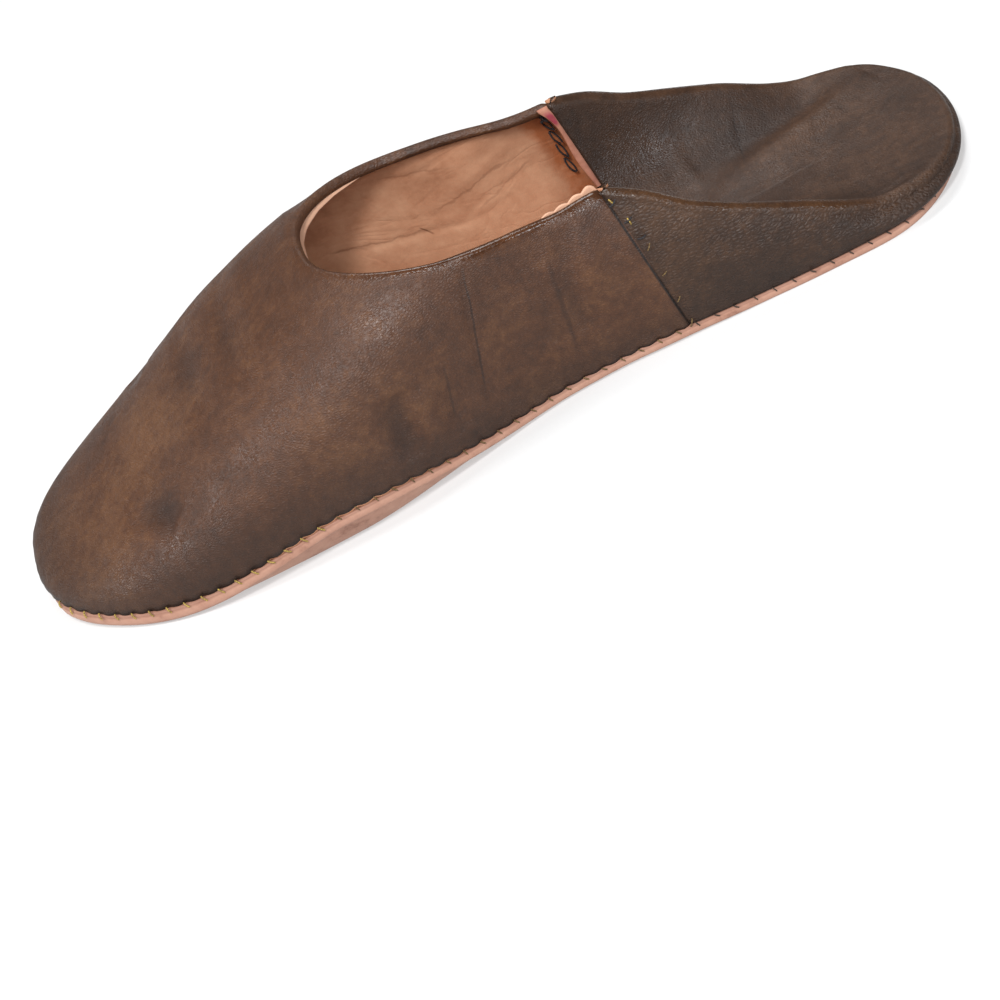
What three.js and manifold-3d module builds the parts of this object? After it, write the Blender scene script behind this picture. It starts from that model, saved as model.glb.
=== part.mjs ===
// A leather babouche slipper with its heel quarter trodden down.
// Sizes are in millimetres. The toe points to -X, the heel to +X, and Z is up.
// The sole stands on z = 0. The near side is -Y and the far side is +Y.

import * as THREE from "three";
import { mergeVertices } from "three/addons/utils/BufferGeometryUtils.js";
import Module from "manifold-3d";

// Plan of the last, measured at the stitch line
const shoeLength = 270;
const ballWidth = 96.4;
const waistWidth = 66.6;
const heelWidth = 75.4;
const ballFromToe = 85;
const waistFromToe = 154;
const heelFromToe = 236.5;
const toeSwing = 3.2;
const toeRoundness = 2.42;
const heelRoundness = 2.2;

// Outsole and insole
const soleThickness = 2.6;
const soleEdgeRound = 1.3;
const toeSpring = 4.3;
const archHeight = 0.8;
const edgeCurl = 9.3;
const curlLength = 35;
const curlWidth = 7;
const curlFlare = 3.4;
const insoleThickness = 1.5;
const insoleInset = 3.2;
const insoleToeInset = 2.8;
const insoleEdgeRound = 0.4;

// Vamp
const wall = 1.6;
const throatFromToe = 103;
const throatHeight = 59;
const throatDrop = 1;
const toeBoxHeight = 6.1;
const toeBoxLength = 37;
const toeBoxRoundness = 2.2;
const instepCurve = 1.15;
const sectionFullness = 2.8;
const collarWidth = 60;
const collarRoundness = 2.3;
const collarWidestAt = 0.55;
const collarDip = 0.85;
const collarRoll = 1.6;
const collarTurnIn = 4;

// Side seams and heel quarter
const seamFromToe = 178;
const seamLean = 5.3;
const leanReach = 0.35;
const seamHeight = 46;
const cornerCut = 6.5;
const seamTopWidth = 51.5;
const seamStep = 0.35;
const seamLap = 3;
const heelFoldHeight = 8.4;
const foldRadius = 2.4;
const heelBulge = 1.6;
const flapSlack = 0.6;

// Gap between pieces that touch
const clearance = 0.3;

// Ridge of the last above the open collar, from the throat back to the side seams.
// at: share of the way, height: share of the throat's height
const ridgeTable = [
  { at: 0, height: 1 },
  { at: 0.4, height: 1.12 },
  { at: 0.7, height: 1.13 },
  { at: 1, height: 0.96 },
];

// The fold of the quarter, from a side seam to the back of the heel.
// at: share of the way along the stitch line
// height: share of the seam's height above the fold at the back of the heel
// inset: share of the heel's half width between the stitch line and the crest of the fold
// turn: how far the leather turns over the fold past its crest, in degrees
// seat: share of the seat's half width that the turned-in leather lies flat on
const foldTable = [
  { at: 0, height: 1.02, inset: 0.27, turn: 86, seat: 0.85 },
  { at: 0.08, height: 0.87, inset: 0.2, turn: 84, seat: 0.8 },
  { at: 0.16, height: 0.66, inset: 0.15, turn: 80, seat: 0.7 },
  { at: 0.35, height: 0.33, inset: 0.11, turn: 60, seat: 0.55 },
  { at: 0.55, height: 0.04, inset: 0.12, turn: 40, seat: 0.5 },
  { at: 0.76, height: 0, inset: 0.08, turn: 35, seat: 0.5 },
  { at: 1, height: 0, inset: 0.05, turn: 35, seat: 0.5 },
];

// Fineness of the facets
const soleStations = 26;
const soleSteps = 9;
const vampStations = 25;
const vampSteps = 11;
const beadSteps = 5;
const quarterStations = 16;
const wallSteps = 5;
const rollSteps = 6;
const flapSteps = 9;

// How the steps crowd towards the sole's edge, the throat and the foot of the vamp
const edgeCrowding = 2;
const throatCrowding = 1.6;
const footCrowding = 3;

const toeX = -shoeLength / 2;
const heelEndX = shoeLength / 2;
const ballX = toeX + ballFromToe;
const waistX = toeX + waistFromToe;
const heelX = toeX + heelFromToe;
const throatX = toeX + throatFromToe;
const seamX = toeX + seamFromToe;
const seamFootX = seamX + seamLean;
const toeCentreX = toeX + ballWidth / 2;
const seatHeight = soleThickness + clearance + insoleThickness + clearance + wall;

const wasm = await Module();
wasm.setup();

const { clamp, lerp } = THREE.MathUtils;

function ease(share) {
  return THREE.MathUtils.smoothstep(share, 0, 1);
}

function steps(count) {
  return Array.from({ length: count + 1 }, (_, i) => i / count);
}

// Arch of a parabola: 0 at both ends and 1 half way
function hump(share) {
  return 4 * share * (1 - share);
}

// Quarter of a superellipse: 1 at share 0, falling to 0 at share 1
function roundEnd(share, roundness) {
  return (1 - clamp(share, 0, 1) ** roundness) ** (1 / roundness);
}

// Smooth curve through one column of a table, without overshoot
function fromTable(table, column, at) {
  const share = clamp(at, 0, 1);
  const slopes = table.slice(1).map((row, i) => (row[column] - table[i][column]) / (row.at - table[i].at));
  const tangent = (i) => {
    if (i === 0 || i === slopes.length) return slopes[Math.min(i, slopes.length - 1)];
    const product = slopes[i - 1] * slopes[i];
    return product > 0 ? (2 * product) / (slopes[i - 1] + slopes[i]) : 0;
  };
  const high = Math.max(table.findIndex((row) => share <= row.at), 1);
  const low = high - 1;
  const span = table[high].at - table[low].at;
  const t = (share - table[low].at) / span;
  const leave = t * (1 - t) ** 2 * span * tangent(low);
  const arrive = t * t * (t - 1) * span * tangent(high);
  return lerp(table[low][column], table[high][column], ease(t)) + leave + arrive;
}

// Plan and profile of the last

function halfWidth(x) {
  const ball = ballWidth / 2;
  const waist = waistWidth / 2;
  const heel = heelWidth / 2;
  if (x < ballX) return ball * roundEnd((ballX - x) / ballFromToe, toeRoundness);
  if (x < waistX) return lerp(ball, waist, ease((x - ballX) / (waistX - ballX)));
  if (x < heelX) return lerp(waist, heel, ease((x - waistX) / (heelX - waistX)));
  return heel * roundEnd((x - heelX) / (heelEndX - heelX), heelRoundness);
}

// Share of the way from the ball to the toe, 0 behind the ball
function toeShare(x) {
  return clamp((ballX - x) / ballFromToe, 0, 1);
}

// Middle line of the last, swung to the inner side at the toe
function middle(x) {
  return toeSwing * toeShare(x) ** 2;
}

// Underside of the sole: flat under ball and heel, raised at the toe and a little at the arch
function groundHeight(x) {
  const archStart = ballX + curlLength;
  const archEnd = heelX - curlLength / 2;
  const archShare = clamp((x - archStart) / (archEnd - archStart), 0, 1);
  return toeSpring * toeShare(x) ** 2 + archHeight * Math.sin(Math.PI * archShare) ** 2;
}

// The sole's edge curls up beside the ball of the foot
function curlHeight(x) {
  return edgeCurl * Math.exp(-(((x - ballX) / curlLength) ** 2));
}

function curlAt(x, inward, width) {
  return curlHeight(x) * clamp(1 - inward / width, 0, 1) ** 2;
}

// Top of the outsole over its curled edge, and the height that a gap needs above its slope
function soleTop(x, inward, gap) {
  const width = curlWidth + curlFlare;
  const slope = ((2 * curlHeight(x)) / width) * clamp(1 - inward / width, 0, 1);
  return soleThickness + curlAt(x, inward, width) + gap * Math.hypot(1, slope);
}

function stitchHeight(x) {
  return soleThickness + groundHeight(x) + curlHeight(x);
}

// Half of the outline without its swing, from the back of the heel to the toe
class HalfOutline extends THREE.Curve {
  constructor() {
    super();
    this.arcLengthDivisions = 600;
  }

  getPoint(share) {
    const x = (Math.cos(share * Math.PI) * shoeLength) / 2;
    return new THREE.Vector3(x, halfWidth(x), 0);
  }

  // Share of the outline's length at a place along X
  shareAt(x) {
    const lengths = this.getLengths();
    const last = lengths.length - 1;
    const place = (Math.acos(clamp((2 * x) / shoeLength, -1, 1)) / Math.PI) * last;
    const low = Math.min(Math.floor(place), last - 1);
    return lerp(lengths[low], lengths[low + 1], place - low) / lengths[last];
  }
}

const halfOutline = new HalfOutline();

// Even stations along the outline between two shares of its length, as places along X
function stationsBetween(start, end, count) {
  return steps(count).map((share) => halfOutline.getPointAt(lerp(start, end, share)).x);
}

function rimPoint(x, side) {
  return new THREE.Vector3(x, middle(x) + side * halfWidth(x), 0);
}

// Every point of the outline faces a point of the spine, the middle line between toe and heel centres
function spinePoint(x) {
  const held = clamp(x, toeCentreX, heelX);
  return new THREE.Vector3(held, middle(held), 0);
}

// Solids from rings of points

function solidFrom(points, faces) {
  const loose = new THREE.BufferGeometry();
  loose.setAttribute("position", new THREE.Float32BufferAttribute(points.flatMap((p) => p.toArray()), 3));
  loose.setIndex(faces);
  const merged = mergeVertices(loose, 1e-4);
  const corners = merged.index.array;
  const kept = [];
  for (let i = 0; i < corners.length; i += 3) {
    const [a, b, c] = corners.slice(i, i + 3);
    if (a !== b && b !== c && c !== a) kept.push(a, b, c);
  }
  const vertProperties = new Float32Array(merged.getAttribute("position").array);
  const mesh = new wasm.Mesh({ numProp: 3, vertProperties, triVerts: new Uint32Array(kept) });
  return new wasm.Manifold(mesh);
}

function geometryFrom(solid) {
  const { vertProperties, triVerts } = solid.getMesh();
  const geometry = new THREE.BufferGeometry();
  geometry.setAttribute("position", new THREE.BufferAttribute(new Float32Array(vertProperties), 3));
  geometry.setIndex(new THREE.BufferAttribute(new Uint32Array(triVerts), 1));
  geometry.computeVertexNormals();
  return geometry;
}

// Faces between neighbouring rings, each quad split along its shorter diagonal.
// A ring may close across itself, and the last ring may join the first.
function facesBetween(rings, { closeAround, closeAcross }) {
  const count = rings[0].length;
  const points = rings.flat();
  const faces = [];
  const around = closeAround ? rings.length : rings.length - 1;
  const across = closeAcross ? count : count - 1;
  for (let i = 0; i < around; i++) {
    for (let j = 0; j < across; j++) {
      const here = i * count;
      const next = ((i + 1) % rings.length) * count;
      const beside = (j + 1) % count;
      const [a, b, c, d] = [here + j, here + beside, next + beside, next + j];
      const rising = points[a].distanceTo(points[c]) <= points[b].distanceTo(points[d]);
      faces.push(...(rising ? [a, b, c, a, c, d] : [a, b, d, b, c, d]));
    }
  }
  return faces;
}

// Cap over a thin ring whose first half lies opposite its second half
function capFaces(start, count, flip) {
  const faces = [];
  for (let j = 0; j < Math.ceil(count / 2) - 1; j++) {
    const a = start + j;
    const b = a + 1;
    const d = start + count - 1 - j;
    const c = d - 1;
    const pair = c === b ? [[a, b, d]] : [[a, b, d], [b, c, d]];
    for (const [p, q, r] of pair) faces.push(...(flip ? [p, q, r] : [p, r, q]));
  }
  return faces;
}

function cappedSolid(rings, closeAcross) {
  const count = rings[0].length;
  const last = (rings.length - 1) * count;
  const faces = [
    ...facesBetween(rings, { closeAround: false, closeAcross }),
    ...capFaces(0, count, false),
    ...capFaces(last, count, true),
  ];
  return solidFrom(rings.flat(), faces);
}

// Sheet that follows the sole between two heights: near and far stations share the spine
function soleSheet({ inset, toeInset, edgeRound, under, over }) {
  const half = stationsBetween(0, 1, soleStations);
  const walk = [
    ...half.map((x) => ({ x, side: -1 })),
    ...half.slice(1, -1).reverse().map((x) => ({ x, side: 1 })),
  ];
  const rings = walk.map(({ x, side }) => {
    const rim = rimPoint(x, side);
    const spine = spinePoint(x);
    const reach = rim.distanceTo(spine);
    const at = (out, height) => {
      const p = new THREE.Vector3().lerpVectors(spine, rim, out / reach);
      p.z = groundHeight(p.x) + height(x, reach - out);
      return p;
    };
    const edge = reach - inset - toeInset * toeShare(x) ** 4;
    const spread = steps(soleSteps).map((share) => 1 - (1 - share) ** edgeCrowding);
    const bottom = spread.map((share) => at(Math.min(share * reach, edge - edgeRound), under));
    const top = spread.map((share) => at(Math.min(share * reach, edge), over)).reverse();
    const brow = new THREE.Vector3().lerpVectors(bottom[soleSteps], top[0], 0.5);
    brow.addScaledVector(new THREE.Vector3().subVectors(rim, spine).setZ(0).normalize(), edgeRound / 4);
    return [...bottom, brow, ...top];
  });
  return solidFrom(rings.flat(), facesBetween(rings, { closeAround: true, closeAcross: false }));
}

// Crown line of the vamp: a rounded toe box, then the rising instep
function crownHeight(x) {
  const low = stitchHeight(x);
  const fromToe = clamp(x - toeX, 0, throatFromToe);
  const box = toeBoxHeight * roundEnd(1 - fromToe / toeBoxLength, toeBoxRoundness);
  const rise = (throatHeight - toeBoxHeight - low) * (fromToe / throatFromToe) ** instepCurve;
  return (low + box + rise) * fromTable(ridgeTable, "height", (x - throatX) / (seamX - throatX));
}

function lastHeight(x, y) {
  const low = stitchHeight(x);
  const share = Math.abs(y - middle(x)) / Math.max(halfWidth(x), clearance);
  return low + (crownHeight(x) - low) * roundEnd(share, sectionFullness);
}

// Edge of the collar on one side, from the side seam forward to the middle of the throat
class CollarHalf extends THREE.Curve {
  constructor(side) {
    super();
    this.side = side;
    this.arcLengthDivisions = 300;
  }
  getPoint(share) {
    const x = lerp(throatX, seamX + seamLap, (1 - share) ** throatCrowding);
    const along = (x - throatX) / (seamX - throatX);
    const front = (collarWidth / 2) * roundEnd(1 - along / collarWidestAt, collarRoundness);
    const past = ease((along - collarWidestAt) / (1 - collarWidestAt));
    const back = lerp(collarWidth / 2, seamTopWidth / 2, past);
    const y = middle(x) + this.side * (along < collarWidestAt ? front : back);
    return new THREE.Vector3(x, y, lerp(throatHeight - throatDrop, seamHeight, ease(along ** collarDip)));
  }
}

// One section of the vamp over the last, from the stitch line up to the collar
class VampSection extends THREE.Curve {
  constructor(foot, edge) {
    super();
    this.foot = foot;
    this.edge = edge;
    this.miss = edge.z - lastHeight(edge.x, edge.y);
    this.arcLengthDivisions = 150;
  }
  getPoint(share) {
    const p = new THREE.Vector3().lerpVectors(this.foot, this.edge, share ** footCrowding);
    p.z = lastHeight(p.x, p.y) + this.miss * share * share + clearance * (1 - share);
    return p;
  }
}

// Outward normals over a grid of points whose rows run up the section
function gridNormals(grid) {
  return grid.map((row, i) =>
    row.map((p, j) => {
      const before = grid[Math.max(i - 1, 0)][j];
      const after = grid[Math.min(i + 1, grid.length - 1)][j];
      const along = new THREE.Vector3().subVectors(after, before);
      const up = new THREE.Vector3().subVectors(row[Math.min(j + 1, row.length - 1)], row[Math.max(j - 1, 0)]);
      return new THREE.Vector3().crossVectors(up, along).normalize();
    }),
  );
}

// Foot of the inner face, one wall inward of the stitch line and just above the sole
function innerFoot(foot) {
  const spine = spinePoint(foot.x);
  const reach = Math.hypot(foot.x - spine.x, foot.y - spine.y);
  const p = new THREE.Vector3().lerpVectors(spine, foot, (reach - wall) / reach);
  p.z = groundHeight(p.x) + soleTop(foot.x, wall, clearance);
  return p;
}

function vampSolid() {
  const start = halfOutline.shareAt(seamFootX + seamLap);
  const half = stationsBetween(start, 1, vampStations);
  const sections = [-1, 1].map((side) => {
    const edges = new CollarHalf(side).getSpacedPoints(vampStations);
    return half.map((x, i) => new VampSection(rimPoint(x, side), edges[i]));
  });
  const walk = [...sections[0], ...sections[1].slice(0, -1).reverse()];
  const grid = walk.map((section) => {
    const length = section.getLength();
    const plain = steps(vampSteps).map((share) => share * (length - collarTurnIn - wall));
    const stops = [...plain, length - collarTurnIn, length];
    return stops.map((stop) => section.getPointAt(stop / length));
  });
  const normals = gridNormals(grid);
  const rings = grid.map((row, i) => {
    const last = row.length - 1;
    const inner = row.map((p, j) => {
      const depth = j < last - 1 ? wall : 2 * collarRoll;
      return p.clone().addScaledVector(normals[i][j], -depth);
    });
    inner[0] = innerFoot(row[0]);
    for (const p of inner.slice(1)) p.z = Math.max(p.z, inner[0].z);
    const forward = new THREE.Vector3().subVectors(row[last], row[last - 1]).normalize();
    const bead = steps(beadSteps).slice(1, -1).map((share) => {
      const out = collarRoll * (Math.cos(Math.PI * share) - 1);
      const over = collarRoll * Math.sin(Math.PI * share);
      return row[last].clone().addScaledVector(normals[i][last], out).addScaledVector(forward, over);
    });
    return [...row, ...bead, ...inner.reverse()];
  });
  return cappedSolid(rings, true);
}

// Section of the quarter: x is the distance from the spine, y the height
function quarterLine(reach, low, at) {
  const crest = heelFoldHeight + (seamHeight - heelFoldHeight) * fromTable(foldTable, "height", at);
  const inset = (heelWidth / 2) * fromTable(foldTable, "inset", at);
  const turn = THREE.MathUtils.degToRad(fromTable(foldTable, "turn", at));
  const seat = fromTable(foldTable, "seat", at);
  const centre = new THREE.Vector2(reach - inset, crest - foldRadius);
  const bulge = lerp(seamStep, heelBulge, at);
  const outer = steps(wallSteps).slice(0, -1).map((share) => {
    const out = lerp(reach, centre.x + foldRadius, share ** sectionFullness);
    return new THREE.Vector2(out + bulge * hump(share), lerp(low, centre.y, share));
  });
  const roll = steps(rollSteps).map((share) => {
    const angle = lerp(0, Math.PI / 2 + turn, share);
    return new THREE.Vector2(Math.cos(angle), Math.sin(angle)).multiplyScalar(foldRadius).add(centre);
  });
  const top = roll[rollSteps];
  const fall = (top.y - seatHeight) / Math.sin(turn);
  const leave = new THREE.Vector2(-Math.cos(turn), -Math.sin(turn)).multiplyScalar(fall * flapSlack).add(top);
  const arrive = new THREE.Vector2(top.x * seat, seatHeight);
  const flap = new THREE.CubicBezierCurve(top, leave, arrive, new THREE.Vector2(0, seatHeight));
  return [...outer, ...roll, ...flap.getSpacedPoints(flapSteps).slice(1)];
}

// Flesh side of the quarter's leather, one wall below the outer line
function fleshLine(line) {
  const last = line.length - 1;
  return line.map((p, j) => {
    if (j === 0) return new THREE.Vector2(p.x - wall, p.y);
    if (j === last) return new THREE.Vector2(p.x, p.y - wall);
    const along = new THREE.Vector2().subVectors(line[j + 1], line[j - 1]).normalize();
    return new THREE.Vector2(p.x - along.y * wall, p.y + along.x * wall);
  });
}

function quarterSolid() {
  const half = stationsBetween(halfOutline.shareAt(seamFootX), 0, quarterStations);
  const sectionAt = (x, side, at) => {
    const rim = rimPoint(x, side);
    const spine = spinePoint(x);
    const reach = rim.distanceTo(spine);
    const low = soleThickness + curlHeight(x) + clearance;
    const lean = seamLean * clamp(1 - at / leanReach, 0, 1);
    const place = (p) => {
      const q = new THREE.Vector3().lerpVectors(spine, rim, p.x / reach);
      const rise = clamp((p.y - low) / (seamHeight - low), 0, 1);
      const above = clamp((p.y - seamHeight) / foldRadius, 0, 1) * (1 - at);
      return new THREE.Vector3(q.x - lean * rise + cornerCut * above, q.y, p.y + groundHeight(q.x));
    };
    const line = quarterLine(reach, low, at);
    return [...[...line].reverse(), ...fleshLine(line)].map(place);
  };
  const near = half.map((x, i) => sectionAt(x, -1, i / quarterStations));
  const far = half.map((x, i) => sectionAt(x, 1, i / quarterStations)).slice(0, -1).reverse();
  return cappedSolid([...near, ...far], false);
}

// Finish of each leather
const finish = {
  sole: new THREE.MeshStandardMaterial({ color: 0xd8a48a, roughness: 0.75, metalness: 0 }),
  insole: new THREE.MeshStandardMaterial({ color: 0xc9977a, roughness: 0.8, metalness: 0 }),
  upper: new THREE.MeshStandardMaterial({ color: 0x5a4030, roughness: 0.5, metalness: 0 }),
};

function piece(name, solid, material) {
  const mesh = new THREE.Mesh(geometryFrom(solid), material);
  mesh.name = name;
  return mesh;
}

const outsole = soleSheet({
  inset: 0,
  toeInset: 0,
  edgeRound: soleEdgeRound,
  under: (x, inward) => curlAt(x, inward, curlWidth),
  over: (x, inward) => soleTop(x, inward, 0),
});
const insole = soleSheet({
  inset: insoleInset,
  toeInset: insoleToeInset,
  edgeRound: insoleEdgeRound,
  under: (x, inward) => soleTop(x, inward, clearance),
  over: (x, inward) => soleTop(x, inward, clearance) + insoleThickness,
});
const upper = quarterSolid().add(vampSolid());

const slipper = new THREE.Group();
slipper.add(piece("outsole", outsole, finish.sole));
slipper.add(piece("insole", insole, finish.insole));
slipper.add(piece("upper", upper, finish.upper));

// The origin lies under the middle of the slipper, on the ground
const bounds = new THREE.Box3().setFromObject(slipper);
const centre = bounds.getCenter(new THREE.Vector3());
for (const mesh of slipper.children) mesh.geometry.translate(-centre.x, -centre.y, -bounds.min.z);

export default slipper;
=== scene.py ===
import math

import bmesh
import bpy
import numpy as np
from mathutils import Matrix, Vector


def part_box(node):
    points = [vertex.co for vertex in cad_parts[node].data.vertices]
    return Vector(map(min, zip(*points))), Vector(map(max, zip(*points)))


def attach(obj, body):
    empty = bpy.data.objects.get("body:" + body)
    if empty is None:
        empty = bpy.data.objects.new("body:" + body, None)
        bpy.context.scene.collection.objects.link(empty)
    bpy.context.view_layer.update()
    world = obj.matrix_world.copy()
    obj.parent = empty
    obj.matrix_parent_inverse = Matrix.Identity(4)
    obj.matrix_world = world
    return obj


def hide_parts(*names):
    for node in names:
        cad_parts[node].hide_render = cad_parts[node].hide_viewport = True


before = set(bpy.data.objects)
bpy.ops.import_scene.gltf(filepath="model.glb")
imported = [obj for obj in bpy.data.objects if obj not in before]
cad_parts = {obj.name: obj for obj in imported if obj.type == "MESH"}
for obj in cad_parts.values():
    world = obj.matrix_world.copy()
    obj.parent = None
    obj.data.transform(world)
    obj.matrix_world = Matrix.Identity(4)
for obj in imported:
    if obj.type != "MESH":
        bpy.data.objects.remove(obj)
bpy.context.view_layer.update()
mm = 0.001

# The last that every piece is shaped on, in millimetres. Toe towards -X, heel towards +X.
last = dict(
    length=270, ballWidth=96.4, waistWidth=66.6, heelWidth=75.4,
    ballFromToe=85, waistFromToe=154, heelFromToe=236.5,
    toeSwing=3.2, toeRoundness=2.42, heelRoundness=2.2,
    soleThickness=2.6, toeSpring=4.3, archHeight=0.8,
    edgeCurl=9.3, curlLength=35, curlWidth=7, curlFlare=3.4, clearance=0.3,
)
toeX = -last["length"] / 2
heelEndX = last["length"] / 2
ballX = toeX + last["ballFromToe"]
waistX = toeX + last["waistFromToe"]
heelX = toeX + last["heelFromToe"]
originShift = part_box("outsole")[0][0] / mm - toeX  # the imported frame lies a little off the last's middle


def ease(share):
    share = np.clip(share, 0, 1)
    return share * share * (3 - 2 * share)


def blend(low, high, share):
    return low + (high - low) * share


def roundEnd(share, roundness):
    return (1 - np.clip(share, 0, 1) ** roundness) ** (1 / roundness)


def hump(share):
    return 4 * share * (1 - share)


def bell(distance, width):
    return np.exp(-((distance / width) ** 2))


def unit(vectors):
    return vectors / np.maximum(np.linalg.norm(vectors, axis=-1, keepdims=True), 1e-9)


# A short table: its columns are named once, a row for each section, fold or spot
def table(columns, *rows):
    return [dict(zip(columns.split(), row)) for row in rows]


def fromTable(rows, column, at):
    at = float(np.clip(at, 0, 1))
    x = [row["at"] for row in rows]
    y = [row[column] for row in rows]
    slopes = [(y[i + 1] - y[i]) / (x[i + 1] - x[i]) for i in range(len(x) - 1)]

    def tangent(i):
        if i == 0 or i == len(slopes):
            return slopes[min(i, len(slopes) - 1)]
        product = slopes[i - 1] * slopes[i]
        return 2 * product / (slopes[i - 1] + slopes[i]) if product > 0 else 0

    low = max(next(i for i, place in enumerate(x) if at <= place), 1) - 1
    span = x[low + 1] - x[low]
    t = (at - x[low]) / span
    curve = blend(y[low], y[low + 1], float(ease(t)))
    return curve + t * (1 - t) ** 2 * span * tangent(low) + t * t * (t - 1) * span * tangent(low + 1)


# Plan and profile of the last

def halfWidth(x):
    x = np.asarray(x, float)
    ball, waist, heel = (last[key] / 2 for key in ("ballWidth", "waistWidth", "heelWidth"))
    toe = ball * roundEnd((ballX - x) / last["ballFromToe"], last["toeRoundness"])
    fore = blend(ball, waist, ease((x - ballX) / (waistX - ballX)))
    rear = blend(waist, heel, ease((x - waistX) / (heelX - waistX)))
    end = heel * roundEnd((x - heelX) / (heelEndX - heelX), last["heelRoundness"])
    return np.select([x < ballX, x < waistX, x < heelX], [toe, fore, rear], end)


def toeShare(x):
    return np.clip((ballX - x) / last["ballFromToe"], 0, 1)


def middle(x):
    return last["toeSwing"] * toeShare(x) ** 2


def groundHeight(x):
    start = ballX + last["curlLength"]
    end = heelX - last["curlLength"] / 2
    arch = np.clip((x - start) / (end - start), 0, 1)
    return last["toeSpring"] * toeShare(x) ** 2 + last["archHeight"] * np.sin(np.pi * arch) ** 2


def curlHeight(x):
    return last["edgeCurl"] * bell(x - ballX, last["curlLength"])


def curlAt(x, inward, width):
    return curlHeight(x) * np.clip(1 - inward / width, 0, 1) ** 2


def stitchHeight(x):
    return last["soleThickness"] + groundHeight(x) + curlHeight(x)


outlineTurn = np.linspace(0, np.pi, 3000)
outlineX = np.cos(outlineTurn) * last["length"] / 2
outlineLength = np.concatenate([[0], np.cumsum(np.hypot(np.diff(outlineX), np.diff(halfWidth(outlineX))))])


def lengthAt(x):
    return np.interp(-x, -outlineX, outlineLength)


def stations(startX, endX, count):
    lengths = np.linspace(lengthAt(startX), lengthAt(endX), count)
    return np.interp(lengths, outlineLength, outlineX)


def rim(x, side):
    return np.stack([x, middle(x) + side * halfWidth(x), np.zeros_like(x)], -1)


def spine(x):
    held = np.clip(x, toeX + last["ballWidth"] / 2, heelX)
    return np.stack([held, middle(held), np.zeros_like(held)], -1)


# The leather overhangs the sole behind the heel and at the tip of the toe
tuckSizes = dict(heel=1.6, heelStart=6, heelRamp=20, toe=1.7, toeStart=-100, toeRamp=15,
                 tipStart=-20, tipRamp=10)


def soleTuck(rims):
    heel = ease((rims[:, 0] - heelX - tuckSizes["heelStart"]) / tuckSizes["heelRamp"])
    toe = ease((tuckSizes["toeStart"] - rims[:, 0]) / tuckSizes["toeRamp"])
    tip = ease((rims[:, 1] - tuckSizes["tipStart"]) / tuckSizes["tipRamp"])
    return tuckSizes["heel"] * heel + tuckSizes["toe"] * toe * tip


def evenSteps(line, stops):
    gone = np.concatenate([[0], np.cumsum(np.linalg.norm(np.diff(line, axis=0), axis=1))])
    return np.stack([np.interp(stops * gone[-1], gone, line[:, k]) for k in range(line.shape[1])], -1)


# Stitches of the join: the leather is drawn in at each and swells between them

rhythmX = dict(toe=-58, heel=waistX + 26)  # where the distance between stitches changes
joinRuns = table(
    "start end spacing",
    (rhythmX["toe"], toeX, 4.9),
    (rhythmX["heel"], rhythmX["toe"], 5.0),
    (heelEndX, rhythmX["heel"], 5.3),
)


def runLength(run):
    return abs(lengthAt(run["end"]) - lengthAt(run["start"]))


def stitchCount(run):
    return int(runLength(run) / run["spacing"])


def joinSwell(x):
    x = np.asarray(x, float)
    swell = np.zeros_like(x)
    for run in joinRuns:
        phase = (lengthAt(x) - lengthAt(run["start"])) / runLength(run) * stitchCount(run)
        inside = (x <= run["start"]) & (x >= run["end"])
        swell = np.where(inside, np.abs(np.sin(np.pi * phase)), swell)
    return swell


def surfaceNormals(grid):
    along = np.gradient(grid, axis=0)
    up = np.gradient(grid, axis=1)
    return unit(np.cross(up, along))


# Creases and swells laid on a surface

pathDepth = dict(free=4, weight=3)  # how far off the surface a path may lie before it stops counting


def distanceTo(points, normals, path):
    best = np.full(points.shape[:-1], 1e9)
    place = np.zeros(points.shape[:-1])
    for i in range(len(path) - 1):
        start, step = path[i], path[i + 1] - path[i]
        t = np.clip(((points - start) @ step) / max(step @ step, 1e-9), 0, 1)
        away = points - start - t[..., None] * step
        off = (away * normals).sum(-1)
        # measured along the surface, so a path a little above or below it still lies on it
        extra = np.maximum(np.abs(off) - pathDepth["free"], 0) * pathDepth["weight"]
        gap = np.linalg.norm(away - off[..., None] * normals, axis=-1) + extra
        nearer = gap < best
        best = np.where(nearer, gap, best)
        place = np.where(nearer, (i + t) / (len(path) - 1), place)
    return best, place


def curveThrough(points, steps=20):
    points = np.asarray(points, float)
    if len(points) < 3:
        return blend(points[0], points[-1], np.linspace(0, 1, steps)[:, None])
    ends = np.vstack([2 * points[0] - points[1], points, 2 * points[-1] - points[-2]])
    line = []
    for i in range(1, len(ends) - 2):
        a, b, c, d = ends[i - 1:i + 3]
        square, cube = 2 * a - 5 * b + 4 * c - d, 3 * b - a - 3 * c + d
        for t in np.linspace(0, 1, max(steps // (len(points) - 1), 4), endpoint=False):
            line.append(0.5 * (2 * b + (c - a) * t + square * t * t + cube * t ** 3))
    return np.array([*line, points[-1]])


def layFolds(points, normals, folds):
    lift = np.zeros(points.shape[:-1])
    for fold in folds:
        gap, place = distanceTo(points, normals, curveThrough(fold["path"]))
        lift += fold["height"] * np.clip(hump(place), 0, 1) ** 0.5 * bell(gap, fold["width"])
    return lift


# Where a mark lies on a surface: a soft spot for each row
def layTones(points, tones):
    spots = [bell(np.linalg.norm(points - row["place"], axis=-1), row["size"]) for row in tones]
    return sum(row["amount"] * spot for row, spot in zip(tones, spots))


def seamDistance(grid):
    return np.minimum(*(np.linalg.norm(grid - end, axis=2) for end in (grid[:1], grid[-1:])))


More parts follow.
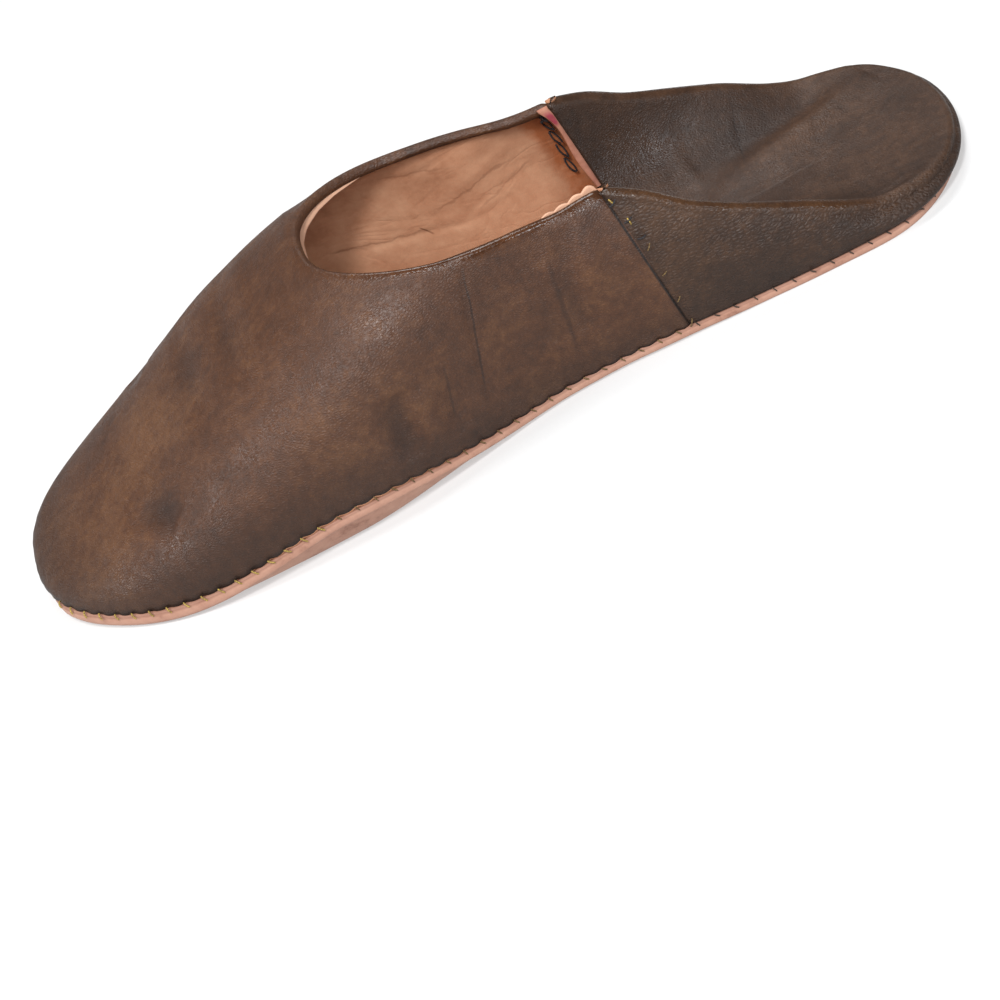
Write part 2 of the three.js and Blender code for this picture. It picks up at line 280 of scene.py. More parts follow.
# Slow unevenness of worked leather, about -1 to 1
def drift(points, size, seed, rough=2):
    chance = np.random.default_rng(seed)
    total = np.zeros(points.shape[:-1])
    for octave in range(rough):
        for _ in range(5):
            wave = unit(chance.normal(size=3)) * 2 * math.pi / size * 1.9 ** octave
            total += np.sin(points @ wave + chance.uniform(0, 2 * math.pi)) / (5 * 1.6 ** octave)
    return total


# Meshes from grids of points

def makeObject(name, mesh):
    piece = bpy.data.objects.new(name, mesh)
    bpy.context.scene.collection.objects.link(piece)
    return piece


# caps closes both end rows with the material of that number, counted from 1
def gridPiece(name, grid, materials, columnMaterial, closeAround=False, closeAcross=False, caps=0,
              marks=None):
    rows, columns = grid.shape[:2]
    points = grid.reshape(-1, 3).copy()
    points[:, 0] += originShift
    index = np.arange(rows * columns).reshape(rows, columns)
    a = index if closeAround else index[:-1]
    b = np.roll(index, -1, 0) if closeAround else index[1:]
    around = columns if closeAcross else columns - 1
    faces = [(a[i, j], a[i, (j + 1) % columns], b[i, (j + 1) % columns], b[i, j])
             for i in range(len(a)) for j in range(around)]
    slots = [columnMaterial[j] for i in range(len(a)) for j in range(around)]
    if caps:
        for row, flip in ((index[0], True), (index[-1], False)):
            for j in range(columns // 2 - 1):
                cap = (row[j], row[j + 1], row[columns - 2 - j], row[columns - 1 - j])
                faces.append(cap[::-1] if flip else cap)
                slots.append(caps - 1)
    mesh = bpy.data.meshes.new(name)
    mesh.from_pydata((points * mm).tolist(), [], [[int(k) for k in face] for face in faces])
    for material in materials:
        mesh.materials.append(material)
    mesh.polygons.foreach_set("material_index", slots)
    mesh.polygons.foreach_set("use_smooth", [True] * len(faces))
    for mark, values in (marks or {}).items():
        layer = mesh.attributes.new(mark, "FLOAT", "POINT")
        layer.data.foreach_set("value", np.asarray(values, float).ravel())
    work = bmesh.new()
    work.from_mesh(mesh)
    bmesh.ops.remove_doubles(work, verts=work.verts, dist=2e-6)
    bmesh.ops.dissolve_degenerate(work, dist=1e-7, edges=work.edges)
    bmesh.ops.recalc_face_normals(work, faces=work.faces)
    if work.calc_volume(signed=True) < 0:
        bmesh.ops.reverse_faces(work, faces=work.faces)
    work.to_mesh(mesh)
    work.free()
    return makeObject(name, mesh)


# Shader values that take part in sums

class Wire:
    def __init__(self, paint, socket):
        self.paint, self.socket = paint, socket

    def sum(self, operation, *terms):
        return self.paint.add("ShaderNodeMath", {"operation": operation}, dict(enumerate(terms)))

    def __abs__(self):
        return self.sum("ABSOLUTE", self)

    def __add__(self, other):
        return self.sum("ADD", self, other)

    def __sub__(self, other):
        return self.sum("SUBTRACT", self, other)

    def __rsub__(self, other):
        return self.sum("SUBTRACT", other, self)

    def __mul__(self, other):
        return self.sum("MULTIPLY", self, other)

    __radd__, __rmul__ = __add__, __mul__

    def held(self, low=0, high=1, fromLow=0, fromHigh=1, soft=False):
        kind = "SMOOTHSTEP" if soft else "LINEAR"
        return self.paint.add("ShaderNodeMapRange", {"interpolation_type": kind}, {
            "Value": self, "From Min": fromLow, "From Max": fromHigh, "To Min": low, "To Max": high})


class Paint:
    def __init__(self, name, roughness=0.5, specular=0.5):
        self.material = bpy.data.materials.new(name)
        self.material.use_nodes = True
        self.tree = self.material.node_tree
        self.shader = self.tree.nodes["Principled BSDF"]
        self.shader.inputs["Roughness"].default_value = roughness
        self.shader.inputs["Specular IOR Level"].default_value = specular
        self.place = self.add("ShaderNodeTexCoord", output="Object")

    def add(self, kind, settings=None, inputs=None, output=0):
        node = self.tree.nodes.new(kind)
        for key, value in (settings or {}).items():
            if key == "stops":
                ramp = node.color_ramp
                while len(ramp.elements) < len(value):
                    ramp.elements.new(0.5)
                for element, (position, colour) in zip(ramp.elements, value):
                    element.position, element.color = position, (*colour, 1)
            else:
                setattr(node, key, value)
        for key, value in (inputs or {}).items():
            if isinstance(value, Wire):
                self.tree.links.new(value.socket, node.inputs[key])
            else:
                node.inputs[key].default_value = value
        return Wire(self, node.outputs[output])

    def mark(self, name):
        return self.add("ShaderNodeAttribute", {"attribute_name": name}, output="Fac")

    def noise(self, size, detail=4, roughness=0.5, stretch=None, distortion=0.0):
        place = self.place if stretch is None else self.stretched(stretch)
        inputs = {"Vector": place, "Scale": 1 / (size * mm), "Detail": detail, "Roughness": roughness}
        return self.add("ShaderNodeTexNoise", {}, inputs | {"Distortion": distortion})

    def cells(self, size, stretch):
        inputs = {"Vector": self.stretched(stretch), "Scale": 1 / (size * mm)}
        return self.add("ShaderNodeTexVoronoi", {"feature": "DISTANCE_TO_EDGE"}, inputs)

    def measure(self, origin, direction):
        start = tuple((np.array(origin) + (originShift, 0, 0)) * mm)
        gone = self.add("ShaderNodeVectorMath", {"operation": "SUBTRACT"}, {0: self.place, 1: start})
        inputs = {0: gone, 1: tuple(direction / mm)}
        return self.add("ShaderNodeVectorMath", {"operation": "DOT_PRODUCT"}, inputs, "Value")

    # A thin straight line drawn on the surface that faces one way; its ends fade out
    def stroke(self, row):
        start, end, facing = (np.array(row[key], float) for key in ("start", "end", "facing"))
        length = np.linalg.norm(end - start)
        along = (end - start) / length
        fadeLength, reach = length * 0.15, 7
        sway = (self.noise(5, 3) - 0.5) * row["wander"]
        aside = abs(self.measure(start, unit(np.cross(along, facing))) + sway)
        gone = self.measure(start, along)
        inside = gone.held(fromHigh=fadeLength) * gone.held(1, 0, length - fadeLength, length)
        inside = inside * abs(self.measure(start, unit(facing))).held(1, 0, reach, reach + 2)
        return aside.held(1, 0, row["width"] * 0.3, row["width"]) * inside * row["strength"]

    def strokes(self, rows, total):
        for row in rows:
            total = total + self.stroke(row)
        return total

    def stretched(self, scale):
        return self.add("ShaderNodeMapping", {}, {"Vector": self.place, "Scale": scale})

    def ramp(self, value, stops):
        return self.add("ShaderNodeValToRGB", {"stops": stops}, {"Fac": value})

    def mix(self, share, first, second):
        first, second = ((*value, 1) if isinstance(value, tuple) else value for value in (first, second))
        return self.add("ShaderNodeMix", {"data_type": "RGBA"}, {0: share, 6: first, 7: second}, 2)

    def bump(self, height, strength, distance, under=None):
        inputs = {"Height": height, "Strength": strength, "Distance": distance * mm}
        if under:
            inputs["Normal"] = under
        return self.add("ShaderNodeBump", {}, inputs)

    def set(self, **sockets):
        names = {"colour": "Base Color", "roughness": "Roughness", "normal": "Normal"}
        for key, wire in sockets.items():
            self.tree.links.new(wire.socket, self.shader.inputs[names[key]])
        return self.material


# Colour as the eye reads it on a screen, 0 to 255, turned into light
def shade(*parts):
    return tuple(((p / 255 + 0.055) / 1.055) ** 2.4 if p > 10 else p / 255 / 12.92 for p in parts)


def toneStops(look, middlePlace):
    places = (("dark", 0), ("mid", middlePlace), ("light", 1))
    return [(place, shade(*look[key])) for key, place in places]


# Brown grain leather of vamp and quarter

strokeColumns = "start end facing width wander strength"
seamStrokes = table(
    strokeColumns,
    ((43.2, -26, 48), (48.7, -35, 1), (0, -1, 0.1), 0.5, 0, 0.95),
    ((43.2, 26, 48), (48.7, 35, 1), (0, 1, 0.1), 0.5, 0, 0.95),
)
# Dark lines drawn along creases: painted shade
creaseShadeStrokes = table(
    strokeColumns,
    ((4.6, -31, 50), (-5.6, -37, 16), (0.1, -0.95, 0.2), 0.4, 0.8, 0.6),
    ((-11, -38, 32), (-15, -40, 16), (0.1, -0.95, 0.2), 0.5, 1.5, 0.35),
    ((24, -31, 40), (20, -34, 12), (0, -1, 0.15), 0.9, 2, 0.35),
)
flapCreaseShadeStrokes = table(strokeColumns, ((88, 31, 18), (82, 11, 7), (0, -0.5, 0.85), 0.35, 2, 0.35))
vampLook = dict(
    grain=0.62, depth=0.16, light=(101, 67, 41), mid=(74, 45, 27), dark=(46, 27, 17),
    strokes=creaseShadeStrokes + seamStrokes,
)
quarterLook = dict(
    grain=0.9, depth=0.24, light=(75, 50, 31), mid=(50, 32, 20), dark=(28, 18, 12), strokes=seamStrokes,
)
# The flap is the quarter's own grain side folded over; its paler browns are painted light for the sheen the
# up-facing flap catches
flapLitLook = dict(
    grain=0.6, depth=0.12, light=(80, 56, 40), mid=(56, 38, 27), dark=(38, 27, 21), strokes=flapCreaseShadeStrokes,
)
grainFinish = dict(
    roughness=0.5, specular=0.3, toneAndShadeReach=0.22, footShade=0.5, footReach=0.25, creaseShade=0.6, pitShade=0.42,
    fineShade=0.35, joinShade=0.85, joinReach=0.018, pebbleHeight=0.7, fineHeight=0.6, strokeDepth=0.5,
    polishFlattens=0.6, polishGloss=0.27, waveSize=5, waveDepth=0.7,
    footColour=(40, 28, 22), creaseShadeColour=(34, 22, 17), pitColour=(26, 16, 11), joinShadeColour=(18, 12, 10),
)


def grainLeather(name, look):
    finish = grainFinish
    paint = Paint(name, roughness=finish["roughness"], specular=finish["specular"])
    patches = paint.noise(34, 5, 0.55)
    clouds = paint.noise(10, 4, 0.6)
    mottle = paint.noise(2.4, 3, 0.65)
    tone = (patches * 0.45 + clouds * 0.25 + mottle * 0.38).held(fromLow=0.34, fromHigh=0.76)
    # the tone mark brings in the listed spots: uneven colour, painted highlight and painted shade
    colour = paint.ramp(tone + paint.mark("tone") * finish["toneAndShadeReach"], toneStops(look, 0.5))
    rise = paint.mark("rise")
    foot = (1 - rise.held(fromHigh=finish["footReach"], soft=True)) * finish["footShade"]
    colour = paint.mix(foot, colour, shade(*finish["footColour"]))
    # painted shade: darker in the troughs of the folds
    creased = paint.mark("crease").held(0, finish["creaseShade"], 0.1, 1)
    colour = paint.mix(creased, colour, shade(*finish["creaseShadeColour"]))
    pebble = paint.cells(look["grain"], (0.62, 1, 1)).held(fromHigh=0.42)
    fine = paint.noise(look["grain"] * 0.45, 2, 0.5, (0.6, 1, 1))
    pits = (1 - pebble) * finish["pitShade"] + fine.held(0, finish["fineShade"], 0.55, 0.3)
    colour = paint.mix(pits.held(0, 0.55), colour, shade(*finish["pitColour"]))
    # painted shadow: a dark line where the upper meets the sole; the strokes add painted shade along the
    # creases and the dark seam lines
    gap = (1 - rise.held(fromHigh=finish["joinReach"])) * finish["joinShade"]
    gap = paint.strokes(look["strokes"], gap)
    colour = paint.mix(gap.held(), colour, shade(*finish["joinShadeColour"]))
    polish = paint.mark("polish")
    rough = paint.noise(7, 4, 0.6).held(finish["roughness"] - 0.06, finish["roughness"] + 0.1, 0.3, 0.7)
    normal = paint.bump(paint.noise(finish["waveSize"], 3, 0.55), 0.4, finish["waveDepth"])
    relief = pebble * finish["pebbleHeight"] + fine * finish["fineHeight"]
    relief = relief * (1 - polish * finish["polishFlattens"]) - gap * finish["strokeDepth"]
    normal = paint.bump(relief, 1, look["depth"], normal)
    return paint.set(colour=colour, roughness=rough - polish * finish["polishGloss"], normal=normal)


# Dark lines along the lining's creases: painted shade
liningCreaseShadeStrokes = table(
    strokeColumns,
    ((-2.4, 34, 24.5), (0.6, 34, 20.5), (0, -1, 0), 0.4, 0, 0.6),
    ((-30, 40, 26), (2, 34, 22), (-0.15, -1, 0), 0.6, 4, 0.3),
    ((2, 34, 27), (30, 32, 34), (0.1, -1, 0), 0.6, 5, 0.3),
    ((-6, 34, 45), (12, 31, 40), (0, -1, 0), 0.5, 4, 0.25),
    ((14, 32, 22), (34, 32, 30), (0, -1, 0), 0.5, 4, 0.25),
)
liningLook = dict(
    light=(188, 143, 113), mid=(172, 124, 95), dark=(148, 100, 73), stain=(152, 86, 48),
    strokes=liningCreaseShadeStrokes,
)
rawEdgeLook = dict(
    light=(168, 120, 100), mid=(148, 100, 82), dark=(120, 74, 60), stain=(128, 36, 58), strokes=[],
)
liningFinish = dict(
    lipLightColour=(228, 190, 166), creaseShadeColour=(110, 64, 42), wrinkleShadeColour=(160, 108, 80),
    strokeShadeColour=(96, 58, 38),
    lipLightShare=0.6, wrinkleShade=0.1, wrinkleSize=13, wrinkleWidth=0.035,
)


def liningLeather(name, look):
    finish = liningFinish
    paint = Paint(name, roughness=0.62, specular=0.25)
    tone = paint.noise(24, 5, 0.6, (0.6, 1, 1)) * 0.6 + paint.noise(4, 4, 0.65) * 0.4
    colour = paint.ramp(tone.held(fromLow=0.33, fromHigh=0.68), toneStops(look, 0.45))
    # painted paler strip: partly the lining's pale cut edge, partly painted light where the strip catches the
    # light
    colour = paint.mix(paint.mark("lip") * finish["lipLightShare"], colour, shade(*finish["lipLightColour"]))
    # painted shade: darker in the lining's folds and along thin shadow lines under the turned-in edge and
    # below the throat's lip
    creased = paint.mark("crease").held(0, 0.8, 0.05, 0.8)
    colour = paint.mix(creased, colour, shade(*finish["creaseShadeColour"]))
    stain = paint.mark("stain")
    edge = paint.noise(5, 4, 0.6).held(-0.35, 0.35, 0.3, 0.7)
    colour = paint.mix((stain + edge * stain).held(0, 0.85, 0.25, 0.75), colour, shade(*look["stain"]))
    wrinkle = abs(paint.noise(finish["wrinkleSize"], 3, 0.5, (0.45, 1, 1), 0.6) - 0.5)
    wrinkle = wrinkle.held(fromHigh=finish["wrinkleWidth"])
    # painted shade along the lining's fine wrinkles
    colour = paint.mix((1 - wrinkle) * finish["wrinkleShade"], colour, shade(*finish["wrinkleShadeColour"]))
    # painted shade along the lining's creases
    lines = paint.strokes(look["strokes"], stain * 0)
    colour = paint.mix(lines.held(), colour, shade(*finish["strokeShadeColour"]))
    normal = paint.bump(wrinkle - lines, 0.2, 0.3)
    normal = paint.bump(paint.noise(0.9, 4, 0.6), 0.35, 0.16, normal)
    return paint.set(colour=colour, normal=normal)


soleLook = dict(
    light=(174, 134, 115), mid=(160, 119, 101), dark=(124, 86, 70), layer=(150, 100, 78), shadow=(96, 60, 45),
)


def soleLeather(name, look):
    paint = Paint(name, roughness=0.6, specular=0.3)
    tone = paint.noise(14, 5, 0.6) * 0.6 + paint.noise(2.5, 3, 0.6) * 0.4
    colour = paint.ramp(tone.held(fromLow=0.3, fromHigh=0.66), toneStops(look, 0.35))
    layers = paint.noise(0.7, 3, 0.6, (1, 1, 3))
    colour = paint.mix(layers.held(0, 0.2, 0.5, 0.8), colour, shade(*look["layer"]))
    colour = paint.mix(paint.mark("shadow") * 0.5, colour, shade(*look["shadow"]))
    return paint.set(colour=colour, normal=paint.bump(layers, 0.3, 0.15))


def plainThread(name, light, dark):
    paint = Paint(name, roughness=0.7, specular=0.3)
    twist = paint.noise(0.35, 2, 0.5)
    colour = paint.mix(twist.held(fromLow=0.35, fromHigh=0.65), shade(*dark), shade(*light))
    return paint.set(colour=colour, normal=paint.bump(twist, 0.5, 0.1))


vampLeather = grainLeather("vampLeather", vampLook)
quarterLeather = grainLeather("quarterLeather", quarterLook)
flapLitLeather = grainLeather("flapLitLeather", flapLitLook)
lining = liningLeather("liningLeather", liningLook)
sole = soleLeather("soleLeather", soleLook)
rawEdge = liningLeather("rawEdge", rawEdgeLook)
print("materials made")


# Vamp: one hollow sheet of leather over the last, turned over at the collar, with its lining

vampSizes = dict(
    wall=1.6, throatFromToe=103, throatHeight=59, throatDrop=1, toeBoxHeight=6.1, toeBoxLength=37,
    toeBoxRoundness=2.2, instepCurve=1.15, sectionFullness=2.8, collarWidth=60, collarRoundness=2.3,
    collarWidestAt=0.55, collarDip=0.85, seamFromToe=178, seamLean=5.3, seamHeight=46, seamTopWidth=51.5,
    seamOverlap=0.5, throatCrowding=1.6, footCrowding=3, stations=210, rows=74,
    collarRoll=1.5, rollSteps=12, turnIn=2.5, seamTurnIn=0.8, turnInFade=60, liningDepth=1.7, footSink=0.7,
    lip=2.8, lipDepth=2.3, lipFrom=6, lipLength=12, grooveDepth=0.8, grooveWidth=1.2, joinSwell=0.45,
    unevenness=0.35, unevenLength=42, liningUnevenness=0.2, liningUnevenLength=26, fullCrease=1.2,
)
ridgeTable = table("at height", (0, 1), (0.4, 1.12), (0.7, 1.13), (1, 0.96))
throatX = toeX + vampSizes["throatFromToe"]
seamX = toeX + vampSizes["seamFromToe"]
seamFootX = seamX + vampSizes["seamLean"]


def crownHeight(x, sizes):
    low = stitchHeight(x)
    fromToe = np.clip(x - toeX, 0, sizes["throatFromToe"])
    box = sizes["toeBoxHeight"] * roundEnd(1 - fromToe / sizes["toeBoxLength"], sizes["toeBoxRoundness"])
    climb = (fromToe / sizes["throatFromToe"]) ** sizes["instepCurve"]
    rise = (sizes["throatHeight"] - sizes["toeBoxHeight"] - low) * climb
    ridge = np.vectorize(lambda at: fromTable(ridgeTable, "height", at))((x - throatX) / (seamX - throatX))
    return (low + box + rise) * ridge


def lastHeight(x, y, sizes):
    low = stitchHeight(x)
    share = np.abs(y - middle(x)) / np.maximum(halfWidth(x), last["clearance"])
    return low + (crownHeight(x, sizes) - low) * roundEnd(share, sizes["sectionFullness"])


def collarLine(side, count, sizes):
    share = np.linspace(0, 1, 400)
    x = blend(throatX, seamX + sizes["seamOverlap"], (1 - share) ** sizes["throatCrowding"])
    along = (x - throatX) / (seamX - throatX)
    widest = sizes["collarWidestAt"]
    front = sizes["collarWidth"] / 2 * roundEnd(1 - along / widest, sizes["collarRoundness"])
    back = blend(sizes["collarWidth"] / 2, sizes["seamTopWidth"] / 2, ease((along - widest) / (1 - widest)))
    y = middle(x) + side * np.where(along < widest, front, back)
    fall = ease(np.maximum(along, 0) ** sizes["collarDip"])
    z = blend(sizes["throatHeight"] - sizes["throatDrop"], sizes["seamHeight"], fall)
    return evenSteps(np.stack([x, y, z], -1), np.linspace(0, 1, count))


def vampSide(side, sizes):
    x = stations(seamFootX + sizes["seamOverlap"], toeX, sizes["stations"])
    feet = rim(x, side)
    edges = collarLine(side, sizes["stations"], sizes)
    share = np.linspace(0, 1, 220)
    grid = []
    for foot, edge in zip(feet, edges):
        line = blend(foot, edge, (share ** sizes["footCrowding"])[:, None])
        miss = edge[2] - lastHeight(edge[:1], edge[1:2], sizes)[0]
        height = lastHeight(line[:, 0], line[:, 1], sizes)
        line[:, 2] = height + miss * share ** 2 + last["clearance"] * (1 - share)
        grid.append(evenSteps(line, np.linspace(0, 1, sizes["rows"])))
    return np.array(grid)


vampFolds = table(
    "path width height",
    ([(4, -31, 49), (1, -33, 42), (-2, -36, 30), (-5, -37, 19), (-6, -38, 10)], 0.9, -0.4),
    ([(-26, -42, 33), (-28, -44, 24), (-29, -45, 14)], 4.2, -1.2),
    ([(-20, -41, 30), (-22, -43, 13)], 3.6, 0.8),
    ([(-12, -39, 28), (-14, -41, 12)], 3.4, -0.6),
    ([(30, -29, 44), (26, -32, 33), (24, -33, 16)], 2.8, -0.8),
    ([(37, -29, 43), (34, -32, 33), (33, -33, 15)], 2.6, 0.7),
    ([(22, -30, 42), (19, -33, 30), (17, -34, 16)], 2.4, -0.4),
    ([(-98, -22, 26), (-93, -29, 25), (-89, -34, 24)], 5.5, -1.0),
    ([(-112, -16, 18), (-104, -26, 19), (-96, -36, 18)], 6, 0.6),
    ([(-80, -10, 36), (-74, -26, 33), (-70, -36, 29)], 7, 0.5),
    ([(-56, -32, 42), (-60, -6, 48), (-56, 28, 43)], 3.2, -0.45),
    ([(-48, -34, 43), (-50, -2, 51), (-47, 30, 45)], 3.4, 0.4),
    ([(-70, -24, 36), (-73, 4, 40), (-69, 30, 35)], 4, -0.4),
    ([(-28, 44, 30), (-30, 46, 14)], 4.6, -1.0),
    ([(0, 35, 36), (-4, 38, 14)], 4, -0.8),
    ([(26, 30, 42), (24, 33, 16)], 3, -0.7),
    ([(-84, 30, 28), (-90, 34, 18)], 6, -0.8),
)
liningFolds = table(
    "path width height",
    ([(-31, 40, 25), (-16, 37, 23), (-1, 33, 22), (12, 31, 20), (26, 30, 22)], 1.2, -0.25),
    ([(-5, 32, 44), (4, 31, 42), (11, 30, 43)], 1.1, -0.15),
    ([(8, 33, 20), (17, 31, 25), (34, 30, 27)], 1.2, -0.2),
    ([(2, 33, 30), (16, 31, 33), (30, 30, 38)], 2.4, 0.25),
    ([(-20, 40, 34), (-4, 36, 28), (8, 33, 26)], 1.1, -0.12),
)

# Where the surface is painted lighter (+) or darker (-): partly the leather's own uneven colour, partly
# painted highlight on the toe and the ridges and painted shade in dimples and troughs
vampToneAndShadeSpots = table(
    "place size amount",
    ((-88, -2, 31), 15, 0.9), ((-112, -20, 18), 15, 1.0), ((-120, 2, 16), 14, 0.5),
    ((-70, -24, 37), 8, -0.6), ((-92, -29, 25), 4, -0.7), ((-80, -38, 18), 12, -0.7),
    ((-58, -42, 26), 12, -0.6), ((-40, -38, 44), 12, 0.4), ((-30, -44, 36), 8, 0.5),
    ((-28, -45, 20), 5, -0.8), ((-12, -38, 40), 9, 0.2), ((-15, -40, 26), 8, 0.4),
    ((10, -34, 20), 10, -0.5), ((24, -33, 30), 5, -0.6), ((34, -33, 28), 5, 0.3),
    ((40, -34, 14), 10, -0.6), ((-45, 5, 54), 16, 0.2), ((-60, 30, 42), 12, -0.3),
)
# Where the grain is rubbed smooth
vampShine = table(
    "place size amount",
    ((-22, -34, 49), 7, 0.5), ((-14, -32, 50), 5, 0.4), ((-42, -37, 45), 8, 0.25), ((-58, -38, 38), 6, 0.4),
    ((-67, -38, 34), 5, 0.35), ((-78, -37, 29), 5, 0.5), ((-93, -37, 22), 6, 0.5), ((-109, -33, 15), 7, 0.4),
)
collarShine = dict(throat=0.3, side=0.7, start=-30, ramp=20, near=1.35, far=0.35, width=1.8, most=1.35)


def makeVamp(sizes):
    near, far = vampSide(-1, sizes), vampSide(1, sizes)
    grid = np.concatenate([near, far[:-1][::-1]])
    normals = surfaceNormals(grid)
    count, rows = grid.shape[:2]
    feet, footX, edgeX = grid[:, 0], grid[:, 0, 0], grid[:, -1:, 0]
    length = np.linalg.norm(np.diff(grid, axis=1), axis=2).sum(1)
    rise = np.broadcast_to(np.linspace(0, 1, rows), (count, rows))
    fromSeam = seamDistance(grid)

    # grain side
    settle = ease(np.minimum(rise / 0.08, (1 - rise) / 0.05))
    lift = layFolds(grid, normals, vampFolds)
    lift += sizes["unevenness"] * drift(grid, sizes["unevenLength"], 5) * settle
    lift -= sizes["grooveDepth"] * bell(fromSeam, sizes["grooveWidth"])
    swell = (joinSwell(footX) * (1 - soleTuck(feet) / 2.4))[:, None]
    lift += sizes["joinSwell"] * (swell - 0.6) * bell(rise, 0.03)
    outer = grid + normals * lift[..., None]
    outer[..., 2] -= sizes["joinSwell"] * swell * bell(rise, 0.02)

    # collar: the leather rolls over and turns in
    roll = sizes["collarRoll"]
    turn = np.linspace(0, np.pi, sizes["rollSteps"])[1:-1]
    over = (roll * (np.cos(turn) - 1))[None, :, None]
    above = (roll * np.sin(turn))[None, :, None]
    up = unit(grid[:, -1] - grid[:, -2])
    bead = outer[:, -1:] + normals[:, -1:] * over + up[:, None] * above

    # lining, from the turned-in edge down to the sole
    fromEdge = (1 - rise) * length[:, None]
    turnIn = blend(sizes["turnIn"], sizes["seamTurnIn"], ease((edgeX - throatX) / sizes["turnInFade"]))
    pastTurn = fromEdge - turnIn
    atThroat = bell(np.maximum(edgeX - throatX - sizes["lipFrom"], 0), sizes["lipLength"])
    lip = atThroat * ease((sizes["lip"] - pastTurn) / 0.8)
    depth = np.where(fromEdge < turnIn, 2 * roll, sizes["liningDepth"] + sizes["lipDepth"] * lip)
    inner = grid - normals * depth[..., None]
    innerLift = layFolds(inner, normals, liningFolds)
    innerLift += sizes["liningUnevenness"] * drift(inner, sizes["liningUnevenLength"], 9) * ease(pastTurn / 6)
    inner = inner - normals * (innerLift * ease(pastTurn / 3))[..., None]
    spines = spine(footX)
    reach = np.linalg.norm((feet - spines)[:, :2], axis=1)
    foot = blend(spines, feet * (1, 1, 0), ((reach - sizes["wall"]) / reach)[:, None])
    inside = 1 - sizes["wall"] / (last["curlWidth"] + last["curlFlare"])
    foot[:, 2] = grid[:, 0, 2] - sizes["footSink"] - curlHeight(footX) * (1 - inside ** 2)  # meets the sole
    inner[:, 0] = foot
    inner[:, :, 2] = np.maximum(inner[:, :, 2], foot[:, 2:3])

    def ringMark(outside=0, onBead=0, within=0):
        spans = ((outside, rows), (onBead, len(turn)), (within, rows))
        parts = [np.broadcast_to(np.asarray(values, float), (count, width)) for values, width in spans]
        return np.concatenate([parts[0], parts[1], parts[2][:, ::-1]], 1)

    alongSide = ease((edgeX - collarShine["start"]) / collarShine["ramp"])
    shine = collarShine["throat"] + collarShine["side"] * alongSide
    shine = shine * np.where(grid[:, -1:, 1] < 0, collarShine["near"], collarShine["far"])
    polish = bell(fromEdge, collarShine["width"]) * shine + layTones(outer, vampShine)
    # painted shade on the lining: its folds, a shadow line just past the turned-in edge, and a soft shade
    # below the lip at the throat
    innerCreaseShading = np.clip(innerLift / sizes["fullCrease"], 0, 1) * 0.6 + bell(pastTurn - 0.2, 0.6)
    innerCreaseShading = innerCreaseShading + 0.5 * bell(pastTurn - sizes["lip"] - 0.9, 0.7) * atThroat
    # the lip strip at the throat is painted paler: partly its pale cut edge, partly painted light
    throatLipLight = ease(pastTurn / 0.5) * ease((sizes["lip"] + 0.4 - pastTurn) / 0.6)
    throatLipLight = throatLipLight * bell(np.maximum(edgeX - throatX - 8, 0), 14)
    marks = dict(
        rise=ringMark(rise, 1, 1),
        polish=ringMark(np.clip(polish, 0, collarShine["most"]), shine, bell(fromEdge, 2) * 0.2),
        # painted shade in the fold troughs of the grain side, and on the lining
        crease=ringMark(np.clip(-lift / sizes["fullCrease"], 0, 1), 0, innerCreaseShading),
        stain=ringMark(within=bell(fromSeam - 7, 4.5) * 0.8),
        tone=ringMark(layTones(outer, vampToneAndShadeSpots)),
        lip=ringMark(within=throatLipLight),
    )
    turned = (fromEdge < turnIn)[:, ::-1].mean(0) > 0.5
    columnMaterial = [0] * (rows + len(turn)) + [0 if t else 1 for t in turned] + [1]
    ring = np.concatenate([outer, bead, inner[:, ::-1]], axis=1)
    materials = [vampLeather, lining]
    piece = gridPiece("vamp", ring, materials, columnMaterial, closeAcross=True, caps=1, marks=marks)
    return piece, outer, inner


vamp, vampOuter, vampInner = makeVamp(vampSizes)
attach(vamp, "root")
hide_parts("upper")
print("vamp made")


# Heel quarter: a low wall round the heel whose top is folded inwards and trodden flat

quarterSizes = dict(
    wall=1.6, seamHeight=46, seamLean=5.3, leanReach=0.35, cornerCut=11, seamStep=0.35, heelFoldHeight=8.4,
    foldRadius=2.4, heelRadius=1.7, heelBulge=1.9, flapSlack=0.6, sectionFullness=2.8, seatHeight=6.3,
    stations=110, wallRows=26, rollRows=14, flapRows=56, grooveDepth=0.6, grooveWidth=1.3, footSink=0.7,
    unevenness=0.3, unevenLength=34, fullCrease=1.5, crestLightening=1.3, crestLighteningWidth=0.5, crestShineWidth=0.35,
)
foldTable = table(
    "at height inset turn seat",
    (0, 1.02, 0.27, 86, 0.85),
    (0.08, 0.87, 0.2, 84, 0.8),
    (0.16, 0.66, 0.15, 80, 0.7),
    (0.35, 0.33, 0.11, 60, 0.55),
    (0.55, 0.04, 0.12, 28, 0.5),
    (0.76, -0.01, 0.04, 7, 0.5),
    (1, -0.02, 0.02, 4, 0.5),
)


